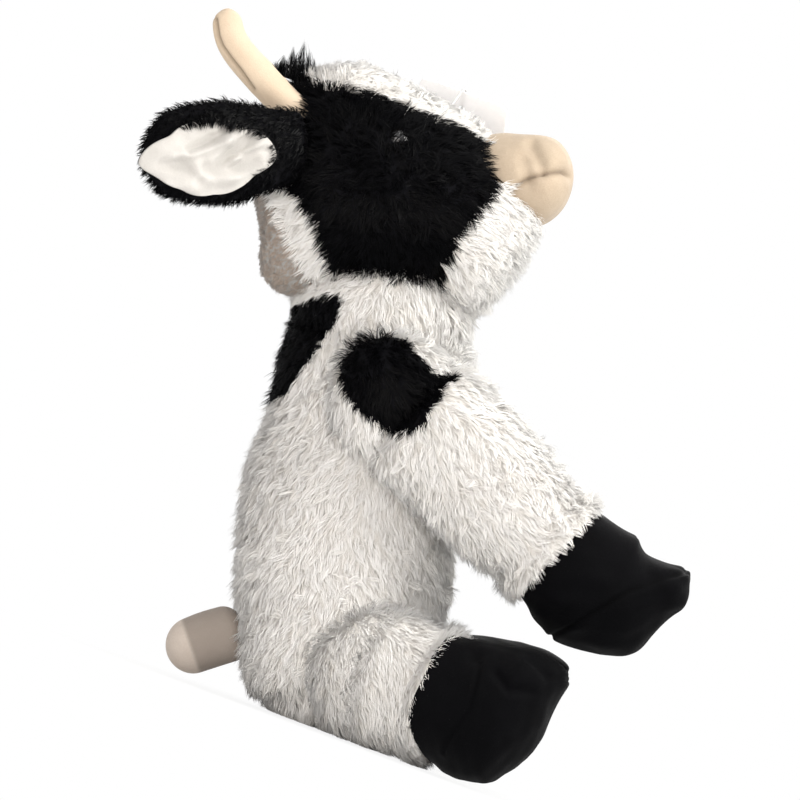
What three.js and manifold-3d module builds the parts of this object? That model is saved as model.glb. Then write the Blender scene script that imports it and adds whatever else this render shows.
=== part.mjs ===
// A seated plush cow: sewn pile covers over stuffing, with a turning head, swinging arms, splaying legs,
// floppy ears, a tail and a blank swing tag. Millimetres, +Z up. The cow faces -Y and its left side is +X.
// The origin is the middle of the flat seat.
import * as THREE from 'three';
import { mergeVertices } from 'three/addons/utils/BufferGeometryUtils.js';
import Module from 'manifold-3d';

const wasm = await Module();
wasm.setup();

// Cloth, pile, walls and clearances
const cloth = 1;
const longPile = 12;
const shortPile = 2.5;
const cupWall = 4;
const seamGap = 0.3;
const fillGap = 0.8;
const seatGap = 0.35;
const turnGap = 0.7;
const floorCut = 0.5;
const overrun = 30;

// Torso, from the flat seat up to the neck's centre
const torso = { depth: 126, width: 126, neckHeight: 226, neckBack: 43, baseRound: 20, topRound: 14 };
const neck = { radius: 52, wadRadius: 35, throatRadius: 26 };
const pelletBag = { width: 64, depth: 36, height: 32, back: 23 };

// Head and what it carries, measured from the neck's centre
const head = { length: 162, height: 142, width: 134, backRound: 24, frontRound: 24 };
const muzzle = { length: 60, height: 52, width: 84, backRound: 8, tipRound: 17, rise: 89, reach: 16 };
const horn = { length: 80, width: 23, startRound: 2, tipRound: 10, apart: 58, rise: 82, back: 70 };
const eye = { radius: 7, dome: 6, shankRadius: 2.2, sunk: 8, rimFit: 0.5 };
const washer = { radius: 8, thick: 1.6 };

// Ears, each a leaf of long pile with a short-pile lining
const ear = { length: 104, height: 60, thick: 15, tipRound: 20, outward: 22, down: 24 };
const earRoot = { apart: 101, rise: 72, back: 73 };
const lining = { length: 78, height: 42, thick: 7, round: 14, start: 16, proud: 1.5 };

// Arms, measured from the shoulder's centre
const shoulder = { apart: 110, height: 187, back: 21, radius: 40, halfWidth: 26 };
const arm = { length: 120, depth: 82, width: 62, startRound: 22, endRound: 8, pastSeam: 24, seamDown: 22 };
const frontHoof = { length: 84, depth: 72, width: 64, startRound: 6, soleRound: 13 };

// Legs, measured from the hip's centre and splayed outwards
const hip = { apart: 100, forward: 12, radius: 32, halfHeight: 40 };
const leg = { length: 54, width: 68, splay: 22, startRound: 20, endRound: 8, pastSeam: 24, seamUp: 9 };
const hindHoof = { length: 84, width: 70, startRound: 6, soleRound: 16 };

// Tail, measured from its root's centre
const tail = { length: 48, width: 33, rootHeight: 40, rootBack: 53, startRound: 12, tipRound: 15, down: 39 };

// Blank paper swing tag on its plastic loop, and a blank sewn-in label
const tag = { width: 53, length: 84, thick: 0.7, corner: 5, holeInset: 12, holeRadius: 2.2, above: 44 };
const tagLoop = { wire: 0.6, overEdge: 2.5, offFace: 2.5 };
const label = { width: 22, length: 37, thick: 1.2, topHeight: 113, lean: 21, sewnIn: 11 };

// How far each joint turns, in degrees
const nod = 12;
const armRaise = 40;
const legOut = 25;
const legIn = 15;
const earOut = 50;
const earIn = 5;
const wag = 25;

// Numbers of faces
const bodySides = 18;
const limbSides = 16;
const smallSides = 12;
const wireSides = 8;
const wireSteps = 14;
const cornerSteps = 4;
const capRings = 3;
const ballSides = 16;
const innerSides = 10;
const innerCapRings = 2;
const innerRings = 4;

const alongX = new THREE.Vector3(1, 0, 0);
const alongZ = new THREE.Vector3(0, 0, 1);

const colours = {
  whitePile: 0xf3efe6,
  blackPile: 0x121214,
  creamPlush: 0xf0dbc2,
  whitePlush: 0xf2efea,
  hoofPlush: 0x17181c,
  stuffing: 0xf7f7f5,
  pelletCloth: 0xd8d4ca,
  eyePlastic: 0x08080a,
  clearPlastic: 0xe8e8e8,
  card: 0xf6f3f0,
  labelCloth: 0xf4f4f2,
};
const longWall = longPile + cloth;
const shortWall = shortPile + cloth;

// A point or a direction given sideways, forwards and up
function at(sideways, forward, up) {
  return new THREE.Vector3(sideways, -forward, up);
}

function radians(degrees) {
  return THREE.MathUtils.degToRad(degrees);
}

// Solids from three.js geometry and back
function solidOf(geometry) {
  const bare = geometry.clone();
  bare.deleteAttribute('normal');
  bare.deleteAttribute('uv');
  const merged = mergeVertices(bare);
  const vertProperties = Float32Array.from(merged.attributes.position.array);
  const triVerts = Uint32Array.from(merged.index.array);
  return new wasm.Manifold(new wasm.Mesh({ numProp: 3, vertProperties, triVerts }));
}

function geometryOf(solid) {
  const mesh = solid.getMesh();
  const geometry = new THREE.BufferGeometry();
  geometry.setAttribute('position', new THREE.BufferAttribute(mesh.vertProperties, 3));
  geometry.setIndex(new THREE.BufferAttribute(mesh.triVerts, 1));
  geometry.computeVertexNormals();
  return geometry;
}

function cut(solid, ...tools) {
  return tools.reduce((rest, tool) => rest.subtract(tool), solid);
}

// The largest piece, without the slivers that a cut can leave
function largest(solid) {
  const pieces = solid.decompose();
  return pieces.reduce((best, piece) => (piece.volume() > best.volume() ? piece : best));
}

function join(first, ...others) {
  return others.reduce((whole, other) => whole.add(other), first);
}

// The part of a solid on the side that a plane's normal points to
function beyondPlane(solid, point, normal) {
  return solid.trimByPlane(normal.toArray(), point.dot(normal));
}

function turnedAbout(solid, centre, axis, degrees) {
  const matrix = new THREE.Matrix4().makeTranslation(centre.x, centre.y, centre.z);
  matrix.multiply(new THREE.Matrix4().makeRotationAxis(axis, radians(degrees)));
  matrix.multiply(new THREE.Matrix4().makeTranslation(-centre.x, -centre.y, -centre.z));
  return solid.transform(matrix.elements);
}

// A ball flattened or stretched along the three axes
function ball(centre, halfX, halfY, halfZ, sides = ballSides, rings = sides / 2, turn = 0) {
  const geometry = new THREE.SphereGeometry(1, sides, rings);
  geometry.rotateX(Math.PI / 2);
  geometry.rotateZ(turn);
  geometry.scale(halfX, halfY, halfZ);
  geometry.translate(centre.x, centre.y, centre.z);
  return solidOf(geometry);
}

// A closed profile of [radius, along] points turned about a line through a point
function turnedProfile(points, centre, direction) {
  const profile = points.map(([radius, along]) => new THREE.Vector2(radius, along));
  const geometry = new THREE.LatheGeometry(profile, smallSides);
  const lineUp = new THREE.Quaternion();
  lineUp.setFromUnitVectors(new THREE.Vector3(0, 1, 0), direction.clone().normalize());
  geometry.applyQuaternion(lineUp);
  geometry.translate(centre.x, centre.y, centre.z);
  return solidOf(geometry);
}

// A straight round bar from a point along a direction
function bar(centre, direction, radius, length) {
  const profile = [
    [0, 0],
    [radius, 0],
    [radius, length],
    [0, length],
  ];
  return turnedProfile(profile, centre, direction);
}

// Distances along a spine at which a form has a ring, with the share of its full size there
function ringStops(length, startFlat, startRound, endRound, roundRings, bodyRings) {
  const starts = startFlat > 0 ? [{ distance: 0, share: startFlat }] : [];
  const ends = [];
  for (let ring = 1; ring <= roundRings; ring += 1) {
    const angle = (Math.PI / 2) * (ring / roundRings);
    const share = startFlat + (1 - startFlat) * Math.sin(angle);
    starts.push({ distance: startRound * (1 - Math.cos(angle)), share });
    ends.unshift({ distance: length - endRound * (1 - Math.cos(angle)), share: Math.sin(angle) });
  }
  const straight = length - startRound - endRound;
  const middles = [];
  for (let ring = 1; ring < bodyRings; ring += 1) {
    middles.push({ distance: startRound + (straight * ring) / bodyRings, share: 1 });
  }
  return [...starts, ...middles, ...ends];
}

// The two lines that a form follows: its spine, and its half sizes across and square to that
function linesOf(form, grow) {
  const spine = form.rows.map((row) => row.point.clone());
  const last = spine.length - 1;
  const startOut = spine[0].clone().sub(spine[1]).normalize();
  const endOut = spine[last].clone().sub(spine[last - 1]).normalize();
  spine[0].addScaledVector(startOut, grow);
  spine[last].addScaledVector(endOut, grow);
  const halves = form.rows.map((row) => new THREE.Vector3(row.halfAcross + grow, row.halfDeep + grow, 0));
  return {
    spine: new THREE.CatmullRomCurve3(spine, false, 'centripetal'),
    halves: new THREE.CatmullRomCurve3(halves, false, 'centripetal'),
  };
}

// A point on the ring that a form has at a share of its rows, at an angle round it
function ringPoint(form, lines, along, angle, share = 1, inset = 0) {
  const point = lines.spine.getPoint(along);
  const forward = lines.spine.getTangent(along);
  const line = form.acrossLine;
  const sideways = line.clone().addScaledVector(forward, -line.dot(forward)).normalize();
  const square = forward.clone().cross(sideways);
  const half = lines.halves.getPoint(along);
  point.addScaledVector(sideways, (half.x * share - inset) * Math.cos(angle));
  return point.addScaledVector(square, (half.y * share - inset) * Math.sin(angle));
}

// A stuffed form that swells and tapers along a spine, made larger or smaller all round by grow, and set in
// from that form by inset
const leastRoundShare = 0.4;
function softForm(form, grow = 0, inset = 0, coarse = grow < 0) {
  const lines = linesOf(form, grow);
  const length = lines.spine.getLength();
  const startRound = Math.max(form.startRound + grow, form.startRound * leastRoundShare);
  const endRound = Math.max(form.endRound + grow, form.endRound * leastRoundShare);
  const sides = coarse ? innerSides : form.sides;
  const roundRings = coarse ? innerCapRings : capRings;
  const bodyRings = coarse ? Math.min(innerRings, form.bodyRings) : form.bodyRings;
  const stops = ringStops(length, form.startFlat ?? 0, startRound, endRound, roundRings, bodyRings);
  const points = [lines.spine.getPoint(lines.spine.getUtoTmapping(0, inset))];
  stops.forEach(({ distance, share }) => {
    const along = lines.spine.getUtoTmapping(0, Math.min(Math.max(distance, inset), length - inset));
    for (let step = 0; step < sides; step += 1) {
      points.push(ringPoint(form, lines, along, (2 * Math.PI * step) / sides, share, inset));
    }
  });
  points.push(lines.spine.getPoint(lines.spine.getUtoTmapping(0, length - inset)));
  const faces = [];
  const endPole = points.length - 1;
  const lastRing = 1 + (stops.length - 1) * sides;
  for (let step = 0; step < sides; step += 1) {
    const next = (step + 1) % sides;
    faces.push(0, 1 + next, 1 + step);
    for (let here = 1; here < lastRing; here += sides) {
      const there = here + sides;
      faces.push(here + step, here + next, there + next);
      faces.push(here + step, there + next, there + step);
    }
    faces.push(endPole, lastRing + step, lastRing + next);
  }
  const geometry = new THREE.BufferGeometry();
  const coordinates = points.flatMap((point) => point.toArray());
  geometry.setAttribute('position', new THREE.Float32BufferAttribute(coordinates, 3));
  geometry.setIndex(faces);
  return solidOf(geometry);
}

// A place on a form's surface with its outward direction, at a share of its rows and an angle round it
function placeOn(form, along, degrees) {
  const nudge = 0.01;
  const lines = linesOf(form, 0);
  const angle = radians(degrees);
  const point = ringPoint(form, lines, along, angle);
  const further = ringPoint(form, lines, along + nudge, angle).sub(point).normalize();
  const round = ringPoint(form, lines, along, angle + nudge).sub(point).normalize();
  return { point, further, outward: round.cross(further).normalize() };
}

// The front of an upright form at a height, found by halving
function frontAtHeight(form, height) {
  const halvings = 24;
  const front = -90;
  let low = 0;
  let high = 1;
  for (let round = 0; round < halvings; round += 1) {
    const middle = (low + high) / 2;
    if (placeOn(form, middle, front).point.z < height) {
      low = middle;
    } else {
      high = middle;
    }
  }
  return placeOn(form, low, front).point;
}

// Rows of [forward, up, half depth, half width] shares turned into points and half sizes
function rowsFrom(shares, origin, length, rise, depth, width) {
  return shares.map(([forward, up, deep, wide]) => ({
    point: origin.clone().add(at(0, forward * length, up * rise)),
    halfAcross: wide * width,
    halfDeep: deep * depth,
  }));
}

// Places of the joints
const neckCentre = at(0, -torso.neckBack, torso.neckHeight);
const hipHeight = hip.halfHeight - floorCut;
const tailRoot = at(0, -tail.rootBack, tail.rootHeight);
const shoulderOf = (way) => at((way * shoulder.apart) / 2, -shoulder.back, shoulder.height);
const hipOf = (way) => at((way * hip.apart) / 2, hip.forward, hipHeight);
const earRootOf = (way) => neckCentre.clone().add(at((way * earRoot.apart) / 2, -earRoot.back, earRoot.rise));
const earAxis = at(0, -Math.sin(radians(ear.down)), Math.cos(radians(ear.down)));
const sides = { left: 1, right: -1 };

// Torso: [forward, up, half depth, half width] as shares of its depth, the neck's height, depth and width
const torsoShares = [
  [0.03, 0, 0.32, 0.38],
  [0.03, 0.1, 0.39, 0.43],
  [-0.02, 0.17, 0.43, 0.465],
  [-0.063, 0.24, 0.455, 0.485],
  [-0.095, 0.319, 0.485, 0.5],
  [-0.143, 0.442, 0.5, 0.49],
  [-0.206, 0.575, 0.49, 0.465],
  [-0.262, 0.748, 0.444, 0.43],
  [-0.29, 0.885, 0.44, 0.405],
  [-0.32, 1, 0.4, 0.37],
];
const seat = at(0, 0, -floorCut);
const torsoForm = {
  rows: rowsFrom(torsoShares, seat, torso.depth, torso.neckHeight, torso.depth, torso.width),
  startFlat: 0.6,
  startRound: torso.baseRound,
  endRound: torso.topRound,
  sides: bodySides,
  bodyRings: 8,
  acrossLine: alongX,
};

// Head: [forward, up, half height, half width] as shares of its length, height, height and width
const headShares = [
  [-0.585, 0.41, 0.28, 0.28],
  [-0.48, 0.43, 0.39, 0.37],
  [-0.333, 0.43, 0.48, 0.46],
  [-0.105, 0.44, 0.43, 0.5],
  [0.117, 0.42, 0.385, 0.465],
  [0.25, 0.375, 0.335, 0.4],
  [0.395, 0.32, 0.28, 0.34],
];
const headForm = {
  rows: rowsFrom(headShares, neckCentre, head.length, head.height, head.height, head.width),
  startRound: head.backRound,
  endRound: head.frontRound,
  sides: bodySides,
  bodyRings: 7,
  acrossLine: alongX,
};

// Muzzle: [forward, up, half height, half width] as shares of its length, length, height and width
const muzzleShares = [
  [0, 0, 0.36, 0.4],
  [0.35, 0.08, 0.48, 0.48],
  [0.65, 0.15, 0.5, 0.5],
  [1, 0.2, 0.42, 0.44],
];
const muzzleStart = neckCentre.clone().add(at(0, muzzle.reach, muzzle.rise));
const muzzleForm = {
  rows: rowsFrom(muzzleShares, muzzleStart, muzzle.length, muzzle.length, muzzle.height, muzzle.width),
  startRound: muzzle.backRound,
  endRound: muzzle.tipRound,
  sides: limbSides,
  bodyRings: 4,
  acrossLine: alongX,
};

// Horn: [forward, up, half depth, half width] as shares of its length, length, width and width
const hornShares = [
  [0, 0, 0.5, 0.5],
  [-0.37, 0.18, 0.5, 0.5],
  [-0.71, 0.38, 0.47, 0.47],
  [-0.86, 0.61, 0.4, 0.4],
];
function hornForm(way) {
  const root = neckCentre.clone().add(at((way * horn.apart) / 2, -horn.back, horn.rise));
  return {
    rows: rowsFrom(hornShares, root, horn.length, horn.length, horn.width, horn.width),
    startRound: horn.startRound,
    endRound: horn.tipRound,
    sides: smallSides,
    bodyRings: 4,
    acrossLine: alongX,
  };
}

// Ear: [along, half height, half thickness] as shares of its length, height and thickness
const earShares = [
  [0, 0.34, 0.5],
  [0.25, 0.42, 0.5],
  [0.52, 0.5, 0.48],
  [0.8, 0.45, 0.42],
  [1, 0.3, 0.34],
];
function leafForm(way, start, offFace, shares, size, startRound, endRound) {
  const outward = Math.sin(radians(ear.outward));
  const level = Math.cos(radians(ear.outward));
  const line = at(way * outward, -level * Math.cos(radians(ear.down)), -level * Math.sin(radians(ear.down)));
  const face = line.clone().cross(earAxis).multiplyScalar(way).normalize();
  const root = earRootOf(way).addScaledVector(line, start).addScaledVector(face, offFace);
  return {
    rows: shares.map(([along, high, thick]) => ({
      point: root.clone().addScaledVector(line, along * size.length),
      halfAcross: high * size.height,
      halfDeep: thick * size.thick,
    })),
    startRound,
    endRound,
    sides: smallSides,
    bodyRings: 4,
    acrossLine: earAxis,
  };
}
const earForm = (way) => leafForm(way, -ear.thick / 2, 0, earShares, ear, ear.thick / 2, ear.tipRound);
const liningOff = (ear.thick - lining.thick) / 2 + lining.proud;
const liningForm = (way) =>
  leafForm(way, lining.start, liningOff, earShares, lining, lining.round, lining.round);

// Arm: [forward, up, half depth, half width] as shares of its length, length, depth and width
const armShares = [
  [0, 0, 0.49, 0.46],
  [0.3, -0.125, 0.5, 0.5],
  [0.65, -0.29, 0.48, 0.5],
  [0.95, -0.425, 0.41, 0.47],
];
function limbEnd(rows, way) {
  const last = rows[rows.length - 1];
  return { ...last, point: last.point.clone().add(way) };
}
const armSeamLine = at(0, Math.cos(radians(arm.seamDown)), -Math.sin(radians(arm.seamDown)));
function armForm(way) {
  const rows = rowsFrom(armShares, shoulderOf(way), arm.length, arm.length, arm.depth, arm.width);
  rows.push(limbEnd(rows, armSeamLine.clone().multiplyScalar(arm.pastSeam)));
  return {
    rows,
    startRound: arm.startRound,
    endRound: arm.endRound,
    sides: limbSides,
    bodyRings: 6,
    acrossLine: alongX,
  };
}
function armSeam(way) {
  const [forward, up] = armShares[armShares.length - 1];
  return shoulderOf(way).add(at(0, forward * arm.length, up * arm.length));
}

// Front hoof: [forward, up, half depth, half width] as shares of its length, length, depth and width
const frontHoofShares = [
  [-0.137, 0.054, 0.42, 0.44],
  [0, 0, 0.44, 0.46],
  [0.244, -0.101, 0.5, 0.5],
  [0.458, -0.149, 0.486, 0.5],
  [0.66, -0.085, 0.34, 0.43],
  [0.85, 0.13, 0.17, 0.28],
];
function frontHoofForm(way) {
  const { length, depth, width } = frontHoof;
  return {
    rows: rowsFrom(frontHoofShares, armSeam(way), length, length, depth, width),
    startRound: frontHoof.startRound,
    endRound: frontHoof.soleRound,
    sides: limbSides,
    bodyRings: 5,
    acrossLine: alongX,
  };
}

// Legs turn outwards about the hip's upright line
function splayed(way, rows) {
  const turn = new THREE.Matrix4().makeRotationAxis(alongZ, radians(way * leg.splay));
  const centre = hipOf(way);
  return rows.map((row) => ({ ...row, point: row.point.clone().sub(centre).applyMatrix4(turn).add(centre) }));
}
function legAcross(way) {
  return alongX.clone().applyAxisAngle(alongZ, radians(way * leg.splay));
}
function legSeamLine(way) {
  const line = at(0, Math.cos(radians(leg.seamUp)), Math.sin(radians(leg.seamUp)));
  return line.applyAxisAngle(alongZ, radians(way * leg.splay));
}

// Leg: [forward, up, half depth, half width] as shares of its length, length, the hip's height and width
const legShares = [
  [0, 0, 0.48, 0.46],
  [0.5, 0, 0.5, 0.5],
  [1, -0.01, 0.46, 0.48],
];
function legForm(way) {
  const thickness = 2 * hip.halfHeight;
  const rows = splayed(way, rowsFrom(legShares, hipOf(way), leg.length, leg.length, thickness, leg.width));
  rows.push(limbEnd(rows, legSeamLine(way).multiplyScalar(leg.pastSeam)));
  return {
    rows,
    startRound: leg.startRound,
    endRound: leg.endRound,
    sides: limbSides,
    bodyRings: 4,
    acrossLine: legAcross(way),
  };
}
function legSeam(way) {
  return legForm(way).rows[legShares.length - 1].point.clone();
}

// Hind hoof: [forward, up, half depth, half width] as shares of its length, length, the hip's height and
// width
const hindHoofShares = [
  [-0.119, -0.012, 0.43, 0.44],
  [0, 0, 0.455, 0.47],
  [0.2, 0.01, 0.49, 0.5],
  [0.45, 0.035, 0.51, 0.5],
  [0.7, 0.03, 0.45, 0.45],
];
function hindHoofForm(way) {
  const seam = legSeam(way);
  const thickness = 2 * hip.halfHeight;
  const { length, width } = hindHoof;
  const rows = rowsFrom(hindHoofShares, seam, length, length, thickness, width);
  const turn = new THREE.Matrix4().makeRotationAxis(alongZ, radians(way * leg.splay));
  return {
    rows: rows.map((row) => ({ ...row, point: row.point.clone().sub(seam).applyMatrix4(turn).add(seam) })),
    startRound: hindHoof.startRound,
    endRound: hindHoof.soleRound,
    sides: limbSides,
    bodyRings: 5,
    acrossLine: legAcross(way),
  };
}

// Tail: [along, half width] as shares of its length and width
const tailShares = [
  [0, 0.5],
  [0.5, 0.5],
  [1, 0.46],
];
const tailLine = at(0, -Math.cos(radians(tail.down)), -Math.sin(radians(tail.down)));
const tailForm = {
  rows: tailShares.map(([along, half]) => ({
    point: tailRoot.clone().addScaledVector(tailLine, along * tail.length),
    halfAcross: half * tail.width,
    halfDeep: half * tail.width,
  })),
  startRound: tail.startRound,
  endRound: tail.tipRound,
  sides: smallSides,
  bodyRings: 3,
  acrossLine: alongX,
};

// The sewn roots of the limbs, each a surface of turning round its own joint. Grown by a clearance, such a
// root cuts its own seat. The seat's flats face the root's corners and clear them as the root turns
function rootBall(centre, halfWidth, radius, halfHeight, grow, steps = ballSides) {
  const rings = steps / 2 + 1;
  const share = 1 / (Math.cos(Math.PI / steps) * Math.cos(Math.PI / (2 * rings)));
  const halves = [halfWidth, radius, halfHeight];
  if (grow > 0) {
    return ball(centre, ...halves.map((half) => (half + grow) * share), steps, rings, Math.PI / steps);
  }
  return ball(centre, ...halves, steps);
}
const neckBall = (grow) => rootBall(neckCentre, neck.radius, neck.radius, neck.radius, grow);
function tailBall(grow, steps) {
  const radius = tail.width / 2;
  return rootBall(tailRoot, radius, radius, radius, grow, steps);
}
function shoulderBall(way, grow, steps) {
  return rootBall(shoulderOf(way), shoulder.halfWidth, shoulder.radius, shoulder.radius, grow, steps);
}
function hipBall(way, grow, steps) {
  return rootBall(hipOf(way), hip.radius, hip.radius, hip.halfHeight, grow, steps);
}
function limbRoots(grow, steps) {
  const shoulders = Object.values(sides).map((way) => shoulderBall(way, grow, steps));
  const hips = Object.values(sides).map((way) => hipBall(way, grow, steps));
  return [...shoulders, ...hips, tailBall(grow, steps)];
}

// What is left of a solid when the floor has flattened it
function onFloor(solid) {
  return beyondPlane(solid, at(0, 0, 0), alongZ);
}

// The neck's wad: a ball in the torso with a throat that reaches up to the head's stuffing
function wadTool(grow) {
  const { wadRadius, throatRadius } = neck;
  const throat = (throatRadius + grow) * (grow > 0 ? 1 / Math.cos(Math.PI / smallSides) : 1);
  return join(
    rootBall(neckCentre, wadRadius, wadRadius, wadRadius, grow),
    bar(neckCentre, alongZ, throat, neck.radius + overrun)
  );
}

// The torso as the limbs see it while a joint turns them
const torsoBody = (grow, coarse = false) => join(softForm(torsoForm, grow, 0, coarse), neckBall(grow));
function torsoSeenFrom(centre, axis, angles, grow, coarse = false) {
  return angles.map((degrees) => turnedAbout(torsoBody(grow, coarse), centre, axis, -degrees));
}

function makeTorso() {
  const cavity = cut(softForm(torsoForm, -longWall), ...limbRoots(turnGap + cupWall, innerSides));
  const cover = cut(torsoBody(0), ...limbRoots(seatGap), cavity, wadTool(seatGap));
  const bagCentre = at(0, -pelletBag.back, longWall + seamGap + pelletBag.height / 2);
  const bag = (grow) =>
    ball(bagCentre, pelletBag.width / 2 + grow, pelletBag.depth / 2 + grow, pelletBag.height / 2 + grow);
  const roots = limbRoots(turnGap + cupWall + seamGap, innerSides);
  const filling = cut(softForm(torsoForm, -longWall, fillGap), ...roots);
  return {
    cover: onFloor(cover),
    stuffing: cut(filling, bag(seamGap), wadTool(seatGap)),
    pellets: bag(0).intersect(filling),
    wad: wadTool(0).intersect(neckBall(0)),
  };
}

// The torso's shoulders as the head sees them while it nods, grown a little more as it turns as well
const shoulderSpread = 2.5;
function shouldersSeenFromHead() {
  const shape = softForm(torsoForm, turnGap + shoulderSpread);
  return [-nod, 0, nod].map((tilt) => turnedAbout(shape, neckCentre, alongX, -tilt));
}

// An eye's place: a share of the head's rows and an angle up from the side
const eyeAlongShare = 0.475;
const eyeAngle = 37;
function makeEye(way) {
  const { point, outward } = placeOn(headForm, eyeAlongShare, way > 0 ? eyeAngle : 180 - eyeAngle);
  const base = point.clone().addScaledVector(outward, -eye.sunk);
  const inwards = outward.clone().negate();
  const wallLeft = longWall - eye.sunk;
  const shankLength = wallLeft + seamGap + 2 * washer.thick;
  const eyePoints = [
    [0, -shankLength],
    [eye.shankRadius, -shankLength],
    [eye.shankRadius, 0],
    [eye.radius, 0],
  ];
  for (let step = 1; step <= capRings; step += 1) {
    const angle = (Math.PI / 2) * (step / capRings);
    eyePoints.push([step === capRings ? 0 : eye.radius * Math.cos(angle), eye.dome * Math.sin(angle)]);
  }
  const washerTop = base.clone().addScaledVector(inwards, wallLeft + seamGap);
  const disc = bar(washerTop, inwards, washer.radius, washer.thick);
  const hole = bar(base, inwards, eye.shankRadius + seamGap, overrun);
  const pocketBase = base.clone().addScaledVector(inwards, seamGap);
  const pocket = bar(pocketBase, outward, eye.radius + eye.rimFit, overrun);
  const room = washerTop.clone().addScaledVector(outward, seamGap + wallLeft / 2);
  return {
    eye: turnedProfile(eyePoints, base, outward),
    washer: cut(disc, hole),
    socket: [pocket, hole],
    innerRoom: bar(room, inwards, washer.radius + seamGap, wallLeft + 2 * washer.thick + 2 * seamGap),
  };
}

// An ear's rounded root, or with a clearance the groove that it turns in
function earRootBar(way, grow) {
  const reach = earShares[0][1] * ear.height + grow;
  const foot = earRootOf(way).addScaledVector(earAxis, -reach);
  return bar(foot, earAxis, ear.thick / 2 + grow, 2 * reach);
}

function makeHead(eyes) {
  const shoulders = shouldersSeenFromHead();
  const sockets = eyes.flatMap(({ socket }) => socket);
  const earSeats = Object.values(sides).map((way) => earRootBar(way, turnGap));
  const rooms = eyes.map(({ innerRoom }) => innerRoom);
  const earWalls = (grow) => Object.values(sides).map((way) => earRootBar(way, turnGap + cupWall / 2 + grow));
  const cavity = cut(softForm(headForm, -longWall), ...earWalls(0));
  const outside = cut(softForm(headForm), neckBall(seatGap), ...shoulders, ...earSeats);
  const whole = softForm(headForm, -longWall, fillGap);
  const stuffing = cut(whole, neckBall(seatGap), ...shoulders, ...earWalls(seamGap), ...rooms);
  return { cover: cut(outside, cavity, ...sockets, ...rooms), stuffing };
}

// A short-pile piece sewn on the head: a skin open towards the head, and its stuffing
function makeSewnOn(form, carrier) {
  const shape = cut(softForm(form), carrier);
  const cover = cut(shape, softForm(form, -shortWall));
  const stuffing = cut(softForm(form, -shortWall, fillGap), carrier);
  return { cover, stuffing };
}

function makeEar(way) {
  const heads = [-earIn, 0, earOut / 2, earOut].map((degrees) =>
    turnedAbout(softForm(headForm, turnGap), earRootOf(way), earAxis, way * degrees)
  );
  const root = earRootBar(way, 0);
  const leaf = cut(softForm(earForm(way)), ...heads);
  const lining = cut(softForm(liningForm(way)), ...heads);
  return { back: cut(join(root, leaf), softForm(liningForm(way), seamGap)), lining };
}

// A limb: a long-pile cover open at its seam, a short-pile hoof, and one stuffing through both
function makeLimb(form, hoofForm, root, seam, seamLine, torsoTools, cavityTools) {
  const ownSide = seamLine.clone().negate();
  const coverEnd = seam.clone().addScaledVector(seamLine, -seamGap / 2);
  const hoofStart = seam.clone().addScaledVector(seamLine, seamGap / 2);
  const fillStart = seam.clone().addScaledVector(seamLine, seamGap);
  const tube = cut(softForm(form), ...torsoTools);
  const whole = beyondPlane(join(root, tube), coverEnd, ownSide);
  const cover = cut(whole, largest(cut(softForm(form, -longWall), ...cavityTools)));
  const hoof = cut(softForm(hoofForm), softForm(hoofForm, -shortWall));
  const armFill = largest(cut(softForm(form, -longWall, fillGap), ...cavityTools));
  const hoofFill = beyondPlane(softForm(hoofForm, -shortWall, fillGap), fillStart, seamLine);
  return {
    cover: onFloor(cover),
    hoof: onFloor(beyondPlane(hoof, hoofStart, seamLine)),
    stuffing: join(armFill, hoofFill),
  };
}

function makeArm(way) {
  const raiseLine = alongX.clone().negate();
  const angles = [0, armRaise / 2, armRaise];
  const tools = torsoSeenFrom(shoulderOf(way), raiseLine, angles, turnGap);
  const deepTools = torsoSeenFrom(shoulderOf(way), raiseLine, [0, armRaise], turnGap + cupWall, true);
  const root = shoulderBall(way, 0);
  return makeLimb(armForm(way), frontHoofForm(way), root, armSeam(way), armSeamLine, tools, deepTools);
}

function makeLeg(way) {
  const outLine = alongZ.clone().multiplyScalar(way);
  const angles = [-legIn, 0, legOut / 2, legOut];
  const tools = torsoSeenFrom(hipOf(way), outLine, angles, turnGap);
  const deepTools = torsoSeenFrom(hipOf(way), outLine, [-legIn, 0, legOut], turnGap + cupWall, true);
  const root = hipBall(way, 0);
  return makeLimb(legForm(way), hindHoofForm(way), root, legSeam(way), legSeamLine(way), tools, deepTools);
}

function makeTail() {
  const tools = torsoSeenFrom(tailRoot, alongZ, [-wag, 0, wag], turnGap);
  const whole = join(tailBall(0), cut(softForm(tailForm), ...tools));
  const mouth = bar(tailRoot, tailLine.clone().negate(), tail.width / 4, overrun);
  const stuffing = cut(softForm(tailForm, -shortWall, fillGap), ...tools);
  return { cover: cut(whole, softForm(tailForm, -shortWall), mouth), stuffing };
}

// The swing tag lies against the head's left side: its place, and its own three directions
const tagAlongShare = 0.6;
const tagAngle = 38;
function tagFrame() {
  const { point, outward } = placeOn(headForm, tagAlongShare, tagAngle);
  const upwards = alongZ.clone().addScaledVector(outward, -alongZ.dot(outward)).normalize();
  const forwards = upwards.clone().cross(outward).normalize();
  const middle = point.clone().addScaledVector(outward, turnGap + tag.thick / 2);
  const hole = middle.clone().addScaledVector(upwards, tag.above - tag.holeInset);
  return { outward, upwards, forwards, hole };
}

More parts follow.
